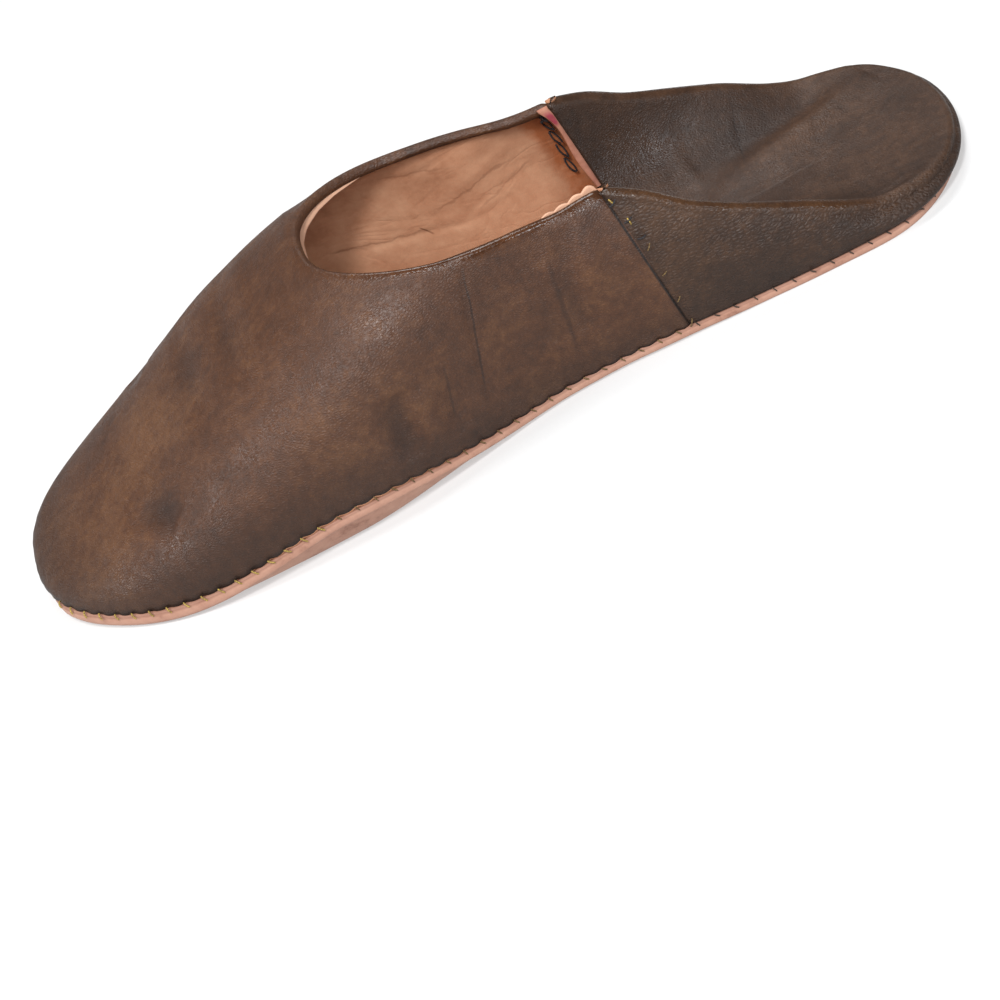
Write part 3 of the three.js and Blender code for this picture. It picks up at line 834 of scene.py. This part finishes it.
def quarterLine(reach, low, at, sizes):
    span = sizes["seamHeight"] - sizes["heelFoldHeight"]
    crest = sizes["heelFoldHeight"] + span * fromTable(foldTable, "height", at)
    inset = last["heelWidth"] / 2 * fromTable(foldTable, "inset", at)
    turn = math.radians(fromTable(foldTable, "turn", at))
    radius = blend(sizes["foldRadius"], sizes["heelRadius"], ease((at - 0.6) / 0.2))
    centre = np.array([reach - inset, crest - radius])
    bulge = blend(sizes["seamStep"], sizes["heelBulge"], at)
    share = np.linspace(0, 1, sizes["wallRows"], endpoint=False)
    out = blend(reach, centre[0] + radius, share ** sizes["sectionFullness"]) + bulge * hump(share)
    wall = np.stack([out, blend(low, centre[1], share)], -1)
    angle = np.linspace(0, math.pi / 2 + turn, sizes["rollRows"])
    roll = centre + radius * np.stack([np.cos(angle), np.sin(angle)], -1)
    top = roll[-1]
    fall = (top[1] - sizes["seatHeight"]) / math.sin(turn)
    leave = top + np.array([-math.cos(turn), -math.sin(turn)]) * min(fall * sizes["flapSlack"], top[0] * 0.45)
    arrive = np.array([top[0] * fromTable(foldTable, "seat", at), sizes["seatHeight"]])
    end = np.array([0, sizes["seatHeight"]])
    t = np.linspace(0, 1, 120)[:, None]
    curve = (1 - t) ** 3 * top + 3 * (1 - t) ** 2 * t * leave + 3 * (1 - t) * t * t * arrive + t ** 3 * end
    return np.concatenate([wall, roll, evenSteps(curve, np.linspace(0, 1, sizes["flapRows"] + 1))[1:]])


def quarterSide(side, sizes):
    xs = stations(seamFootX, heelEndX, sizes["stations"])
    grids = []
    for i, station in enumerate(xs):
        at = i / (sizes["stations"] - 1)
        edge, back = rim(np.array([station]), side)[0], spine(np.array([station]))[0]
        reach = np.linalg.norm(edge - back)
        low = last["soleThickness"] + float(curlHeight(station)) + last["clearance"]
        lean = sizes["seamLean"] * max(1 - at / sizes["leanReach"], 0)
        line = quarterLine(reach, low, at, sizes)
        place = back + (edge - back) * (line[:, :1] / reach)
        rise = np.clip((line[:, 1] - low) / (sizes["seamHeight"] - low), 0, 1)
        above = np.clip((line[:, 1] - sizes["seamHeight"]) / sizes["foldRadius"], 0, 1) * (1 - at)
        height = line[:, 1] + groundHeight(place[:, 0])
        x = place[:, 0] - lean * rise + sizes["cornerCut"] * above
        grids.append(np.stack([x, place[:, 1], height], -1))
    return np.array(grids)


quarterFolds = table(
    "path width height",
    ([(70, 6, 8), (80, 9, 7), (88, 11, 7), (99, 14, 7), (111, 18, 7), (124, 23, 8)], 5.5, 2.4),
    ([(70, 17, 11), (84, 20, 9), (98, 23, 8), (112, 27, 8)], 5, -1.4),
    ([(60, 4, 7), (74, 0, 7), (92, -4, 7)], 8, -0.7),
    ([(96, -6, 6), (112, -4, 6), (124, 2, 7)], 8, -0.5),
    ([(88, 31, 18), (86, 23, 12), (82, 11, 7)], 0.6, -0.25),
    ([(98, -30, 10), (106, -31, 8), (116, -28, 8)], 1.4, -0.4),
    ([(88, -34, 12), (96, -36, 8)], 1.6, -0.5),
    ([(96, -36, 10), (104, -36, 7)], 1.5, -0.45),
    ([(60, -34, 28), (72, -36, 17)], 5, -0.4),
)
# Lighter (+) and darker (-) spots on the quarter: partly its own uneven colour, partly painted highlight
# along the flap's ridge and painted shade in the valley beside it
quarterToneAndShadeSpots = table(
    "place size amount",
    ((56, -32, 34), 9, 0.7), ((64, -35, 24), 9, 0.4), ((70, -36, 12), 12, -0.7), ((96, -36, 6), 12, -0.5),
    ((100, 16, 8), 10, 0.7), ((112, -2, 7), 14, 0.4), ((60, 22, 22), 12, -0.2), ((88, 26, 12), 10, -0.5),
    ((88, 11, 8), 6, 0.8), ((96, 14, 8), 6, 0.8), ((106, 17, 8), 6, 0.6), ((84, 20, 10), 5, -0.8),
    ((96, 22, 9), 5, -0.6), ((55, -26, 42), 6, 0.5),
)
flapShine = table(
    "place size amount",
    ((47, 19, 22), 6, 0.5), ((56, 23, 25), 8, 0.6), ((66, 24, 20), 8, 0.5),
    ((76, 27, 18), 4, 0.5), ((62, 21, 15), 7, 0.4), ((100, 15, 8), 8, 0.3),
)


def makeQuarter(sizes):
    near, far = quarterSide(-1, sizes), quarterSide(1, sizes)
    grid = np.concatenate([near, far[:-1][::-1]])
    normals = -surfaceNormals(grid)
    normals[:, -1] = (0, 0, 1)
    normals[:2], normals[-2:] = normals[2], normals[-3]  # the corners face as the wall beside them does
    count, columns = grid.shape[:2]
    index = np.arange(columns)
    onWall = index < sizes["wallRows"]
    onFlap = index >= sizes["wallRows"] + sizes["rollRows"]
    flapShare = np.clip((index - sizes["wallRows"] - sizes["rollRows"]) / sizes["flapRows"], 0, 1)
    wallShare = np.clip(index / sizes["wallRows"], 0, 1)
    settle = ease(wallShare / 0.15) * ease((1 - flapShare) / 0.12)
    lift = layFolds(grid, normals, quarterFolds) * ease(wallShare / 0.2)
    lift += sizes["unevenness"] * drift(grid, sizes["unevenLength"], 12) * settle
    lift -= sizes["grooveDepth"] * bell(seamDistance(grid), sizes["grooveWidth"]) * np.where(onFlap, 0, 1)
    outer = grid + normals * lift[..., None]
    flesh = grid - normals * sizes["wall"]
    flesh[:, 0] = grid[:, 0] + unit(spine(grid[:, 0, 0]) - grid[:, 0] * (1, 1, 0)) * sizes["wall"]
    flesh[:, 0, 2] -= sizes["footSink"]
    flesh[[0, -1], :, 0] = outer[[0, -1], :, 0]

    def sheetMark(grainSide, fleshSide=0.0):
        parts = [np.broadcast_to(values, (count, columns)) for values in (grainSide, fleshSide)]
        return np.concatenate(parts, 1)

    crestAway = np.abs(index - sizes["wallRows"] - sizes["rollRows"] * 0.45) / sizes["rollRows"]
    toHeel = 1 - np.abs(np.linspace(-1, 1, count))[:, None]
    crestShine = bell(crestAway, sizes["crestShineWidth"]) * (1 - ease((toHeel - 0.4) / 0.2))
    # the tone is made lighter along the fold's crest
    crestLightening = sizes["crestLightening"] * bell(crestAway, sizes["crestLighteningWidth"])
    marks = dict(
        rise=sheetMark(np.where(onWall, wallShare, 1), 1.0),
        polish=sheetMark(crestShine + layTones(outer, flapShine)),
        # painted shade in the fold troughs
        crease=sheetMark(np.clip(-lift / sizes["fullCrease"], 0, 1)),
        stain=sheetMark(0),
        tone=sheetMark(layTones(outer, quarterToneAndShadeSpots) + crestLightening),
    )
    flapStart = sizes["wallRows"] + sizes["rollRows"] // 2
    columnMaterial = [0 if j < flapStart else 1 for j in range(columns - 1)] + [2] * (columns + 1)
    ring = np.concatenate([outer, flesh[:, ::-1]], axis=1)
    materials = [quarterLeather, flapLitLeather, lining]
    piece = gridPiece("quarter", ring, materials, columnMaterial, caps=3, marks=marks)
    return piece, outer


quarter, quarterOuter = makeQuarter(quarterSizes)
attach(quarter, "root")
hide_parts("upper")
print("quarter made")


# Sole and insole: leather sheets on the same outline

soleSizes = dict(
    inset=0, toeInset=0, edgeRound=0.9, stations=150, steps=26, under=0, thickness=2.6,
    proud=0.5, toeDrop=1.1, crowding=2,
)
insoleSizes = dict(
    inset=3.2, toeInset=2.8, edgeRound=0.4, stations=110, steps=22, under=2.9, thickness=1.5,
    proud=0, toeDrop=0, crowding=2,
)


def makeSheet(name, sizes, material):
    half = stations(heelEndX, toeX, sizes["stations"])
    walk = [(x, -1) for x in half] + [(x, 1) for x in half[1:-1][::-1]]
    xs, sides = (np.array(values) for values in zip(*walk))
    rims = np.stack([xs, middle(xs) + sides * halfWidth(xs), 0 * xs], -1)
    spines = spine(xs)
    reach = np.linalg.norm(rims - spines, axis=1)
    edge = reach - sizes["inset"] - sizes["toeInset"] * toeShare(xs) ** 4
    edge = edge + sizes["proud"] * (1 + 0.5 * drift(rims, 30, 21)) * (1 + 1.4 * toeShare(xs))
    if name == "sole":
        edge = edge - soleTuck(rims)
    below = sizes["toeDrop"] * ease(toeShare(xs) * 1.6)
    spread = 1 - (1 - np.linspace(0, 1, sizes["steps"])) ** sizes["crowding"]
    flare = last["curlWidth"] if name == "sole" else last["curlWidth"] + last["curlFlare"]

    def level(out, base, width):
        p = blend(spines, rims, (out / reach)[:, None])
        p[:, 2] = groundHeight(p[:, 0]) + base + curlAt(xs, reach - out, width)
        if base == sizes["under"]:
            p[:, 2] = np.maximum(p[:, 2] - below * np.clip(out / reach, 0, 1), base)
        return p

    inside = edge - sizes["edgeRound"]
    top = sizes["under"] + sizes["thickness"]
    topWidth = last["curlWidth"] + last["curlFlare"]
    rings = [level(np.minimum(share * reach, inside), sizes["under"], flare) for share in spread]
    low = level(inside, sizes["under"], flare)
    high = level(inside, top, topWidth)
    outward = unit(rims - spines)
    for turn in np.linspace(0, math.pi, 9)[1:-1]:
        side = blend(low, high, (1 - math.cos(turn)) / 2)
        rings.append(side + outward * sizes["edgeRound"] * math.sin(turn) ** 0.5)
    rings += [level(np.minimum(share * reach, inside), top, topWidth) for share in spread[::-1]]
    grid = np.stack(rings, 1)
    shadow = np.zeros(grid.shape[:2])
    shadow[:, sizes["steps"] + 5:sizes["steps"] + 10] = 1  # under the upper's edge
    return gridPiece(name, grid, [material], [0] * grid.shape[1], closeAround=True,
                     marks=dict(shadow=shadow, crease=0 * shadow, stain=0 * shadow))


outsole = makeSheet("sole", soleSizes, sole)
insole = makeSheet("footbed", insoleSizes, lining)
for piece, node, slot in ((outsole, "outsole", "sole_leather"), (insole, "insole", "insole_leather")):
    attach(piece, "root")
    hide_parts(node)
print("soles made")


# Threads: one tree lays a row of stitches along any path

def threadTree():
    tree = bpy.data.node_groups.new("stitchRow", "GeometryNodeTree")
    face = tree.interface
    face.new_socket("Geometry", in_out="INPUT", socket_type="NodeSocketGeometry")
    kinds = dict(Spacing="Float", Radius="Float", Start="Vector", Middle="Vector", End="Vector",
                 Swing="Float", Seed="Int", Material="Material")
    for name, kind in kinds.items():
        face.new_socket(name, in_out="INPUT", socket_type="NodeSocket" + kind)
    face.new_socket("Geometry", in_out="OUTPUT", socket_type="NodeSocketGeometry")
    ends = tree.nodes.new("NodeGroupInput").outputs

    def node(kind, settings=None, **inputs):
        made = tree.nodes.new(kind)
        for key, value in (settings or {}).items():
            setattr(made, key, value)
        for key, value in inputs.items():
            socket = made.inputs[key.replace("_", " ")]
            if isinstance(value, bpy.types.NodeSocket):
                tree.links.new(value, socket)
            else:
                socket.default_value = value
        return made.outputs

    line = node("GeometryNodeMeshToCurve", Mesh=ends["Geometry"])["Curve"]
    spots = node("GeometryNodeResampleCurve", {"mode": "LENGTH"}, Curve=line, Length=ends["Spacing"])["Curve"]
    corners = {key: ends[key] for key in ("Start", "Middle", "End")}
    bend = node("GeometryNodeCurveQuadraticBezier", Resolution=7, **corners)["Curve"]
    ring = node("GeometryNodeCurvePrimitiveCircle", Resolution=7, Radius=ends["Radius"])["Curve"]
    strand = node("GeometryNodeCurveToMesh", Curve=bend, Profile_Curve=ring, Fill_Caps=True)["Mesh"]
    stored = {"data_type": "FLOAT_VECTOR"}
    outward = node("GeometryNodeInputNamedAttribute", stored, Name="outward")["Attribute"]
    facing = node("FunctionNodeAlignRotationToVector", {"axis": "Z"}, Vector=outward)["Rotation"]
    tangent = node("GeometryNodeInputTangent")["Tangent"]
    onward = {"axis": "X", "pivot_axis": "Z"}
    lined = node("FunctionNodeAlignRotationToVector", onward, Rotation=facing, Vector=tangent)["Rotation"]
    swing = node("FunctionNodeRandomValue", Seed=ends["Seed"])["Value"]
    back = node("ShaderNodeMapRange", Value=swing, To_Max=ends["Swing"])["Result"]
    turn = node("ShaderNodeCombineXYZ", Z=back)["Vector"]
    placed = node("GeometryNodeInstanceOnPoints", Points=spots, Instance=strand, Rotation=lined)["Instances"]
    turned = node("GeometryNodeRotateInstances", Instances=placed, Rotation=turn)["Instances"]
    real = node("GeometryNodeRealizeInstances", Geometry=turned)["Geometry"]
    smooth = node("GeometryNodeSetShadeSmooth", Geometry=real)["Geometry"]
    coloured = node("GeometryNodeSetMaterial", Geometry=smooth, Material=ends["Material"])["Geometry"]
    tree.links.new(coloured, tree.nodes.new("NodeGroupOutput").inputs["Geometry"])
    return tree


stitchTree = threadTree()


def stitchRow(name, path, outward, material, sizes):
    mesh = bpy.data.meshes.new(name + "Path")
    points = np.asarray(path, float) + (originShift, 0, 0)
    mesh.from_pydata((points * mm).tolist(), [(i, i + 1) for i in range(len(points) - 1)], [])
    layer = mesh.attributes.new("outward", "FLOAT_VECTOR", "POINT")
    layer.data.foreach_set("vector", np.asarray(outward, float).ravel())
    piece = makeObject(name, mesh)
    modifier = piece.modifiers.new("stitches", "NODES")
    modifier.node_group = stitchTree
    keys = {item.name: item.identifier for item in stitchTree.interface.items_tree if item.in_out == "INPUT"}
    scaled = {key: [value * mm for value in sizes[key.lower()]] for key in ("Start", "Middle", "End")}
    scaled |= {"Spacing": sizes["spacing"] * mm, "Radius": sizes["radius"] * mm, "Swing": sizes["swing"],
               "Seed": sizes["seed"], "Material": material}
    for key, value in scaled.items():
        modifier[keys[key]] = value
    ready = bpy.data.meshes.new_from_object(piece.evaluated_get(bpy.context.evaluated_depsgraph_get()))
    piece.modifiers.clear()
    piece.data = ready
    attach(piece, "root")
    return piece


soleThread = plainThread("soleThread", (168, 142, 70), (92, 74, 40))
midThread = plainThread("midThread", (112, 90, 52), (64, 48, 32))
darkThread = plainThread("darkThread", (66, 52, 42), (34, 28, 24))
blackThread = plainThread("blackThread", (50, 46, 48), (22, 21, 24))
stitchColumns = "spacing radius start middle end swing seed"
joinStitches = table(
    "part thread radius start middle end swing seed",
    ("Toe", soleThread, 0.23, (-0.5, 0.5, -0.2), (0, 0.3, 0.8), (0.45, -0.9, 0.7), 0.5, 4),
    ("Middle", midThread, 0.18, (-0.35, 0.4, -0.2), (0, 0.1, 0.45), (0.3, -0.8, 0.25), 0.5, 7),
    ("Heel", darkThread, 0.18, (-0.35, 0.4, -0.2), (0, 0.1, 0.45), (0.3, -0.8, 0.2), 0.5, 9),
)


def joinPath(side, startX, endX, count=200):
    x = stations(startX, endX, count)
    path = rim(x, side)
    outward = unit(path - spine(x))
    path[:, 2] = stitchHeight(x) + 0.1
    return path + outward * (0.35 - soleTuck(path))[:, None], outward


for side, label in ((-1, "near"), (1, "far")):
    for run, sizes in zip(joinRuns, joinStitches):
        ends = (run["end"], run["start"])
        path, outward = joinPath(side, *(ends if side < 0 else ends[::-1]))
        total = np.linalg.norm(np.diff(path, axis=0), axis=1).sum()
        spacing = total / stitchCount(run) * 0.9999
        name = label + sizes["part"] + "Stitches"
        stitchRow(name, path, outward, sizes["thread"], sizes | dict(spacing=spacing))
print("sole stitches laid")

# Side seams: the quarter's raw edge inside the shoe, chain stitches beside it, small stitches outside

tapeSizes = dict(width=1.9, height=0.9, rows=48, sides=14, topWidth=1.5, topLength=0.1, wave=0.2, waves=14)


def seamTape(label, side, line, normals):
    steps = np.linspace(0, 1, tapeSizes["rows"])
    path, face = evenSteps(line, steps), unit(evenSteps(normals, steps))
    turns = np.linspace(0, 2 * np.pi, tapeSizes["sides"], endpoint=False)
    wide = tapeSizes["width"] + tapeSizes["topWidth"] * bell(steps, tapeSizes["topLength"])
    wide = wide * (1 - tapeSizes["wave"] * (1 - np.cos(steps * tapeSizes["waves"] + 1))) / 2
    wide = wide * ease((1.02 - steps) / 0.12)
    across = -wide[:, None] * (1 - np.cos(turns))[None, :]
    proud = tapeSizes["height"] / 2 * np.sin(turns)[None, :] * ease((1.02 - steps) / 0.1)[:, None]
    grid = path[:, None] + np.array([1, 0, 0]) * across[..., None] + face[:, None] * proud[..., None]
    caps = [np.broadcast_to(grid[i].mean(0), grid[i].shape)[None] for i in (0, -1)]
    grid = np.concatenate([caps[0], grid, caps[1]])
    stainAlong = bell(np.linspace(0, 1, len(grid)) - 0.1, 0.05)[:, None] * (side > 0)
    stain = np.broadcast_to(stainAlong, grid.shape[:2]) * ease(np.sin(turns))
    piece = gridPiece(label + "SeamEdge", grid, [rawEdge], [0] * len(turns), closeAcross=True,
                      marks=dict(crease=0 * stain, stain=stain))
    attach(piece, "root")


chainRows = table(
    stitchColumns,
    (4.7, 0.24, (-2.8, 0, 0), (0, 1.1, 0.6), (2.7, 0.2, 0.1), 0.4, 2),
    (4.7, 0.26, (-2.8, 0, 0.1), (0, -1.3, 0.5), (2.7, -0.2, 0), 0.4, 5),
)
knotSizes = dict(spacing=1.1, radius=0.42, start=(-1.2, -0.8, 0), middle=(0, 0.6, 1.0),
                 end=(1.2, 0.3, 0), swing=1.2, seed=8)
seamRows = table(
    "name thread rows " + stitchColumns,
    ("SeamStitches", soleThread, (5, 17), 3.4, 0.2, (0.5, -0.9, 0), (0, 0, 0.9), (-0.5, 0.8, 0), 1.3, 3),
    ("SeamLoops", blackThread, (6, 26), 4.3, 0.22, (-0.8, -0.9, 0), (0, 0, 1.0), (0.4, 1.0, 0), 1.2, 6),
    ("SeamTicks", midThread, (30, 73), 8, 0.18, (0.3, -1.0, 0), (0, 0, 0.8), (-0.3, 1.0, 0), 0.7, 13),
)
chainPlace = dict(away=6.6, measuredAt=40, firstRow=3, lastRow=44, proud=0.5, knotRows=6)


# The lining's line of points that runs down beside one seam
def chainPath(end, side):
    level = vampInner[:, chainPlace["measuredAt"]]
    away = np.linalg.norm(level - level[end], axis=1)
    onSide = np.arange(len(away)) * side > (len(away) // 2) * side
    column = np.abs(np.where(onSide, away, 99) - chainPlace["away"]).argmin()
    return vampInner[column][::-1][chainPlace["firstRow"]:chainPlace["lastRow"]]


for end, label, side in ((0, "near", -1), (-1, "far", 1)):
    first = quarterSizes["wallRows"] + (10 if side > 0 else quarterSizes["rollRows"] + 12)
    edge = quarterOuter[end, first:-2]
    seamTape(label, side, edge, unit(np.cross(np.gradient(edge, axis=0), (1, 0, 0)) * side))
    wayDown = chainPath(end, side)
    inward = np.broadcast_to((0, -side, 0.1), wayDown.shape)
    for number, sizes in enumerate(chainRows):
        place = wayDown + (0, -side * chainPlace["proud"], 0)
        stitchRow(f"{label}Chain{number}", place, inward, blackThread, sizes)
    top = slice(chainPlace["knotRows"])
    stitchRow(label + "Knot", wayDown[top] + (0.3, -side * 0.8, 0), inward[top], blackThread, knotSizes)
    outside = vampOuter[end][::-1] + (0.2, side * 0.8, 0.2)
    outward = np.broadcast_to((0.1, side, 0.2), outside.shape)
    for sizes in seamRows:
        place = slice(*sizes["rows"])
        stitchRow(label + sizes["name"], outside[place], outward[place], sizes["thread"], sizes)

# Trimmed edges of the lining: scallops over the near collar, and a lip under the far side of the throat

# lip: how much paler a strip is painted, partly for its pale cut edge and partly as painted light
liningStrips = table(
    "name first last height taper scallop waves sink rise inward lip",
    ("liningTongue", 1, 38, 5.6, 0.5, 0.16, 13, 1.4, 1, 0.25, 0.5),
    ("liningLip", 196, 300, 4.6, 0.75, 0.05, 20, -0.9, -1, 0.5, 0.6),
)
stripSizes = dict(rows=10, stations=120, thickness=0.45, throatAway=25)


def liningStrip(sizes):
    share = np.linspace(0, 1, stripSizes["stations"])
    line = evenSteps(vampInner[sizes["first"]:sizes["last"], -1], share)
    tall = sizes["height"] * (1 - sizes["taper"] * share)
    tall = tall * (1 - sizes["scallop"] * (1 - np.abs(np.sin(share * sizes["waves"]))))
    tall = tall * roundEnd(np.abs(2 * share - 1), 6)
    # The middle of the opening, beside each point
    heart = np.maximum(line[:, 0], throatX + stripSizes["throatAway"])
    inward = unit(np.stack([heart - line[:, 0], -line[:, 1], 0 * heart], -1))
    levels = np.linspace(0, 1, stripSizes["rows"])
    reach = (tall[:, None] * levels - sizes["sink"] * sizes["rise"])[..., None]
    front = line[:, None] + np.array([0, 0, sizes["rise"]]) * reach
    front = front + inward[:, None] * sizes["inward"] * np.abs(reach) * 0.5
    back = front - inward[:, None] * stripSizes["thickness"]
    ring = np.concatenate([front, back[:, ::-1]], 1)
    flat = np.zeros(ring.shape[:2])
    piece = gridPiece(sizes["name"], ring, [lining], [0] * ring.shape[1], closeAcross=True, caps=1,
                      marks=dict(crease=flat, stain=flat, lip=flat + sizes["lip"]))
    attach(piece, "root")


for sizes in liningStrips:
    liningStrip(sizes)
print("seams sewn")


# Camera, light and floor

cameraPlace = dict(
    azimuth=3.28, elevation=37.32, roll=-29.8, distance=816.94, target=(-18, 0, -44.09),
    focal=2964.31, frameWidth=1000, sensorWidth=36,
)


def makeCamera(place):
    turn, tilt, roll = (math.radians(place[key]) for key in ("azimuth", "elevation", "roll"))
    back = Vector((math.sin(turn) * math.cos(tilt), -math.cos(turn) * math.cos(tilt), math.sin(tilt)))
    right = Vector((0, 0, 1)).cross(back).normalized()
    up = back.cross(right)
    across = right * math.cos(roll) + up * math.sin(roll)
    upward = up * math.cos(roll) - right * math.sin(roll)
    target = Vector(place["target"]) + Vector((originShift, 0, 0))
    data = bpy.data.cameras.new("camera")
    data.sensor_width = place["sensorWidth"]
    data.lens = place["focal"] / place["frameWidth"] * data.sensor_width
    camera = makeObject("camera", data)
    turned = Matrix((across, upward, back)).transposed().to_4x4()
    camera.matrix_world = Matrix.Translation((target + back * place["distance"]) * mm) @ turned
    bpy.context.scene.camera = camera


lights = table(
    "name place aim size power colour",
    ("keyLight", (-0.12, -0.75, 1.1), (-0.02, 0, 0.03), 0.22, 16, (1, 1, 1)),
    ("toeLight", (-1.15, -0.16, 0.8), (-0.08, 0, 0.02), 0.25, 13, (1, 1, 1)),
    ("frontFill", (0.1, -1.0, 0.8), (0, 0, 0.02), 0.5, 5, (1, 1, 1)),
    ("rearLight", (0.2, 0.5, 1.1), (0.03, 0, 0.02), 0.5, 8, (1, 1, 1)),
    ("lowLight", (0.75, -1.0, 0.6), (0.07, 0, 0.03), 0.3, 6, (0.9, 0.95, 1)),
)
roomSizes = dict(worldStrength=0.16, floorTone=0.36, floorGlow=0.42, floorReach=4)


def makeLight(light):
    data = bpy.data.lights.new(light["name"], "AREA")
    data.size, data.energy, data.color = light["size"], light["power"], light["colour"]
    lamp = makeObject(light["name"], data)
    lamp.location = light["place"]
    toward = Vector(light["aim"]) - Vector(light["place"])
    lamp.rotation_euler = toward.to_track_quat("-Z", "Y").to_euler()


makeCamera(cameraPlace)
for light in lights:
    makeLight(light)
world = bpy.data.worlds.new("studio")
world.use_nodes = True
world.node_tree.nodes["Background"].inputs["Color"].default_value = (1, 1, 1, 1)
world.node_tree.nodes["Background"].inputs["Strength"].default_value = roomSizes["worldStrength"]
bpy.context.scene.world = world
bpy.context.scene.view_settings.view_transform = "Standard"

floorMesh = bpy.data.meshes.new("floor")
reach = roomSizes["floorReach"]
corners = [(-reach, -reach, 0), (reach, -reach, 0), (reach, reach, 0), (-reach, reach, 0)]
floorMesh.from_pydata(corners, [], [(0, 1, 2, 3)])
floor = makeObject("floor", floorMesh)
floorPaint = Paint("paleFloor", roughness=0.9, specular=0.1)
tone = roomSizes["floorTone"]
sockets = {
    "Base Color": (tone, tone, tone, 1), "Emission Color": (1, 1, 1, 1),
    "Emission Strength": roomSizes["floorGlow"],
}
for socket, value in sockets.items():
    floorPaint.shader.inputs[socket].default_value = value
floorMesh.materials.append(floorPaint.material)
print("stage made")
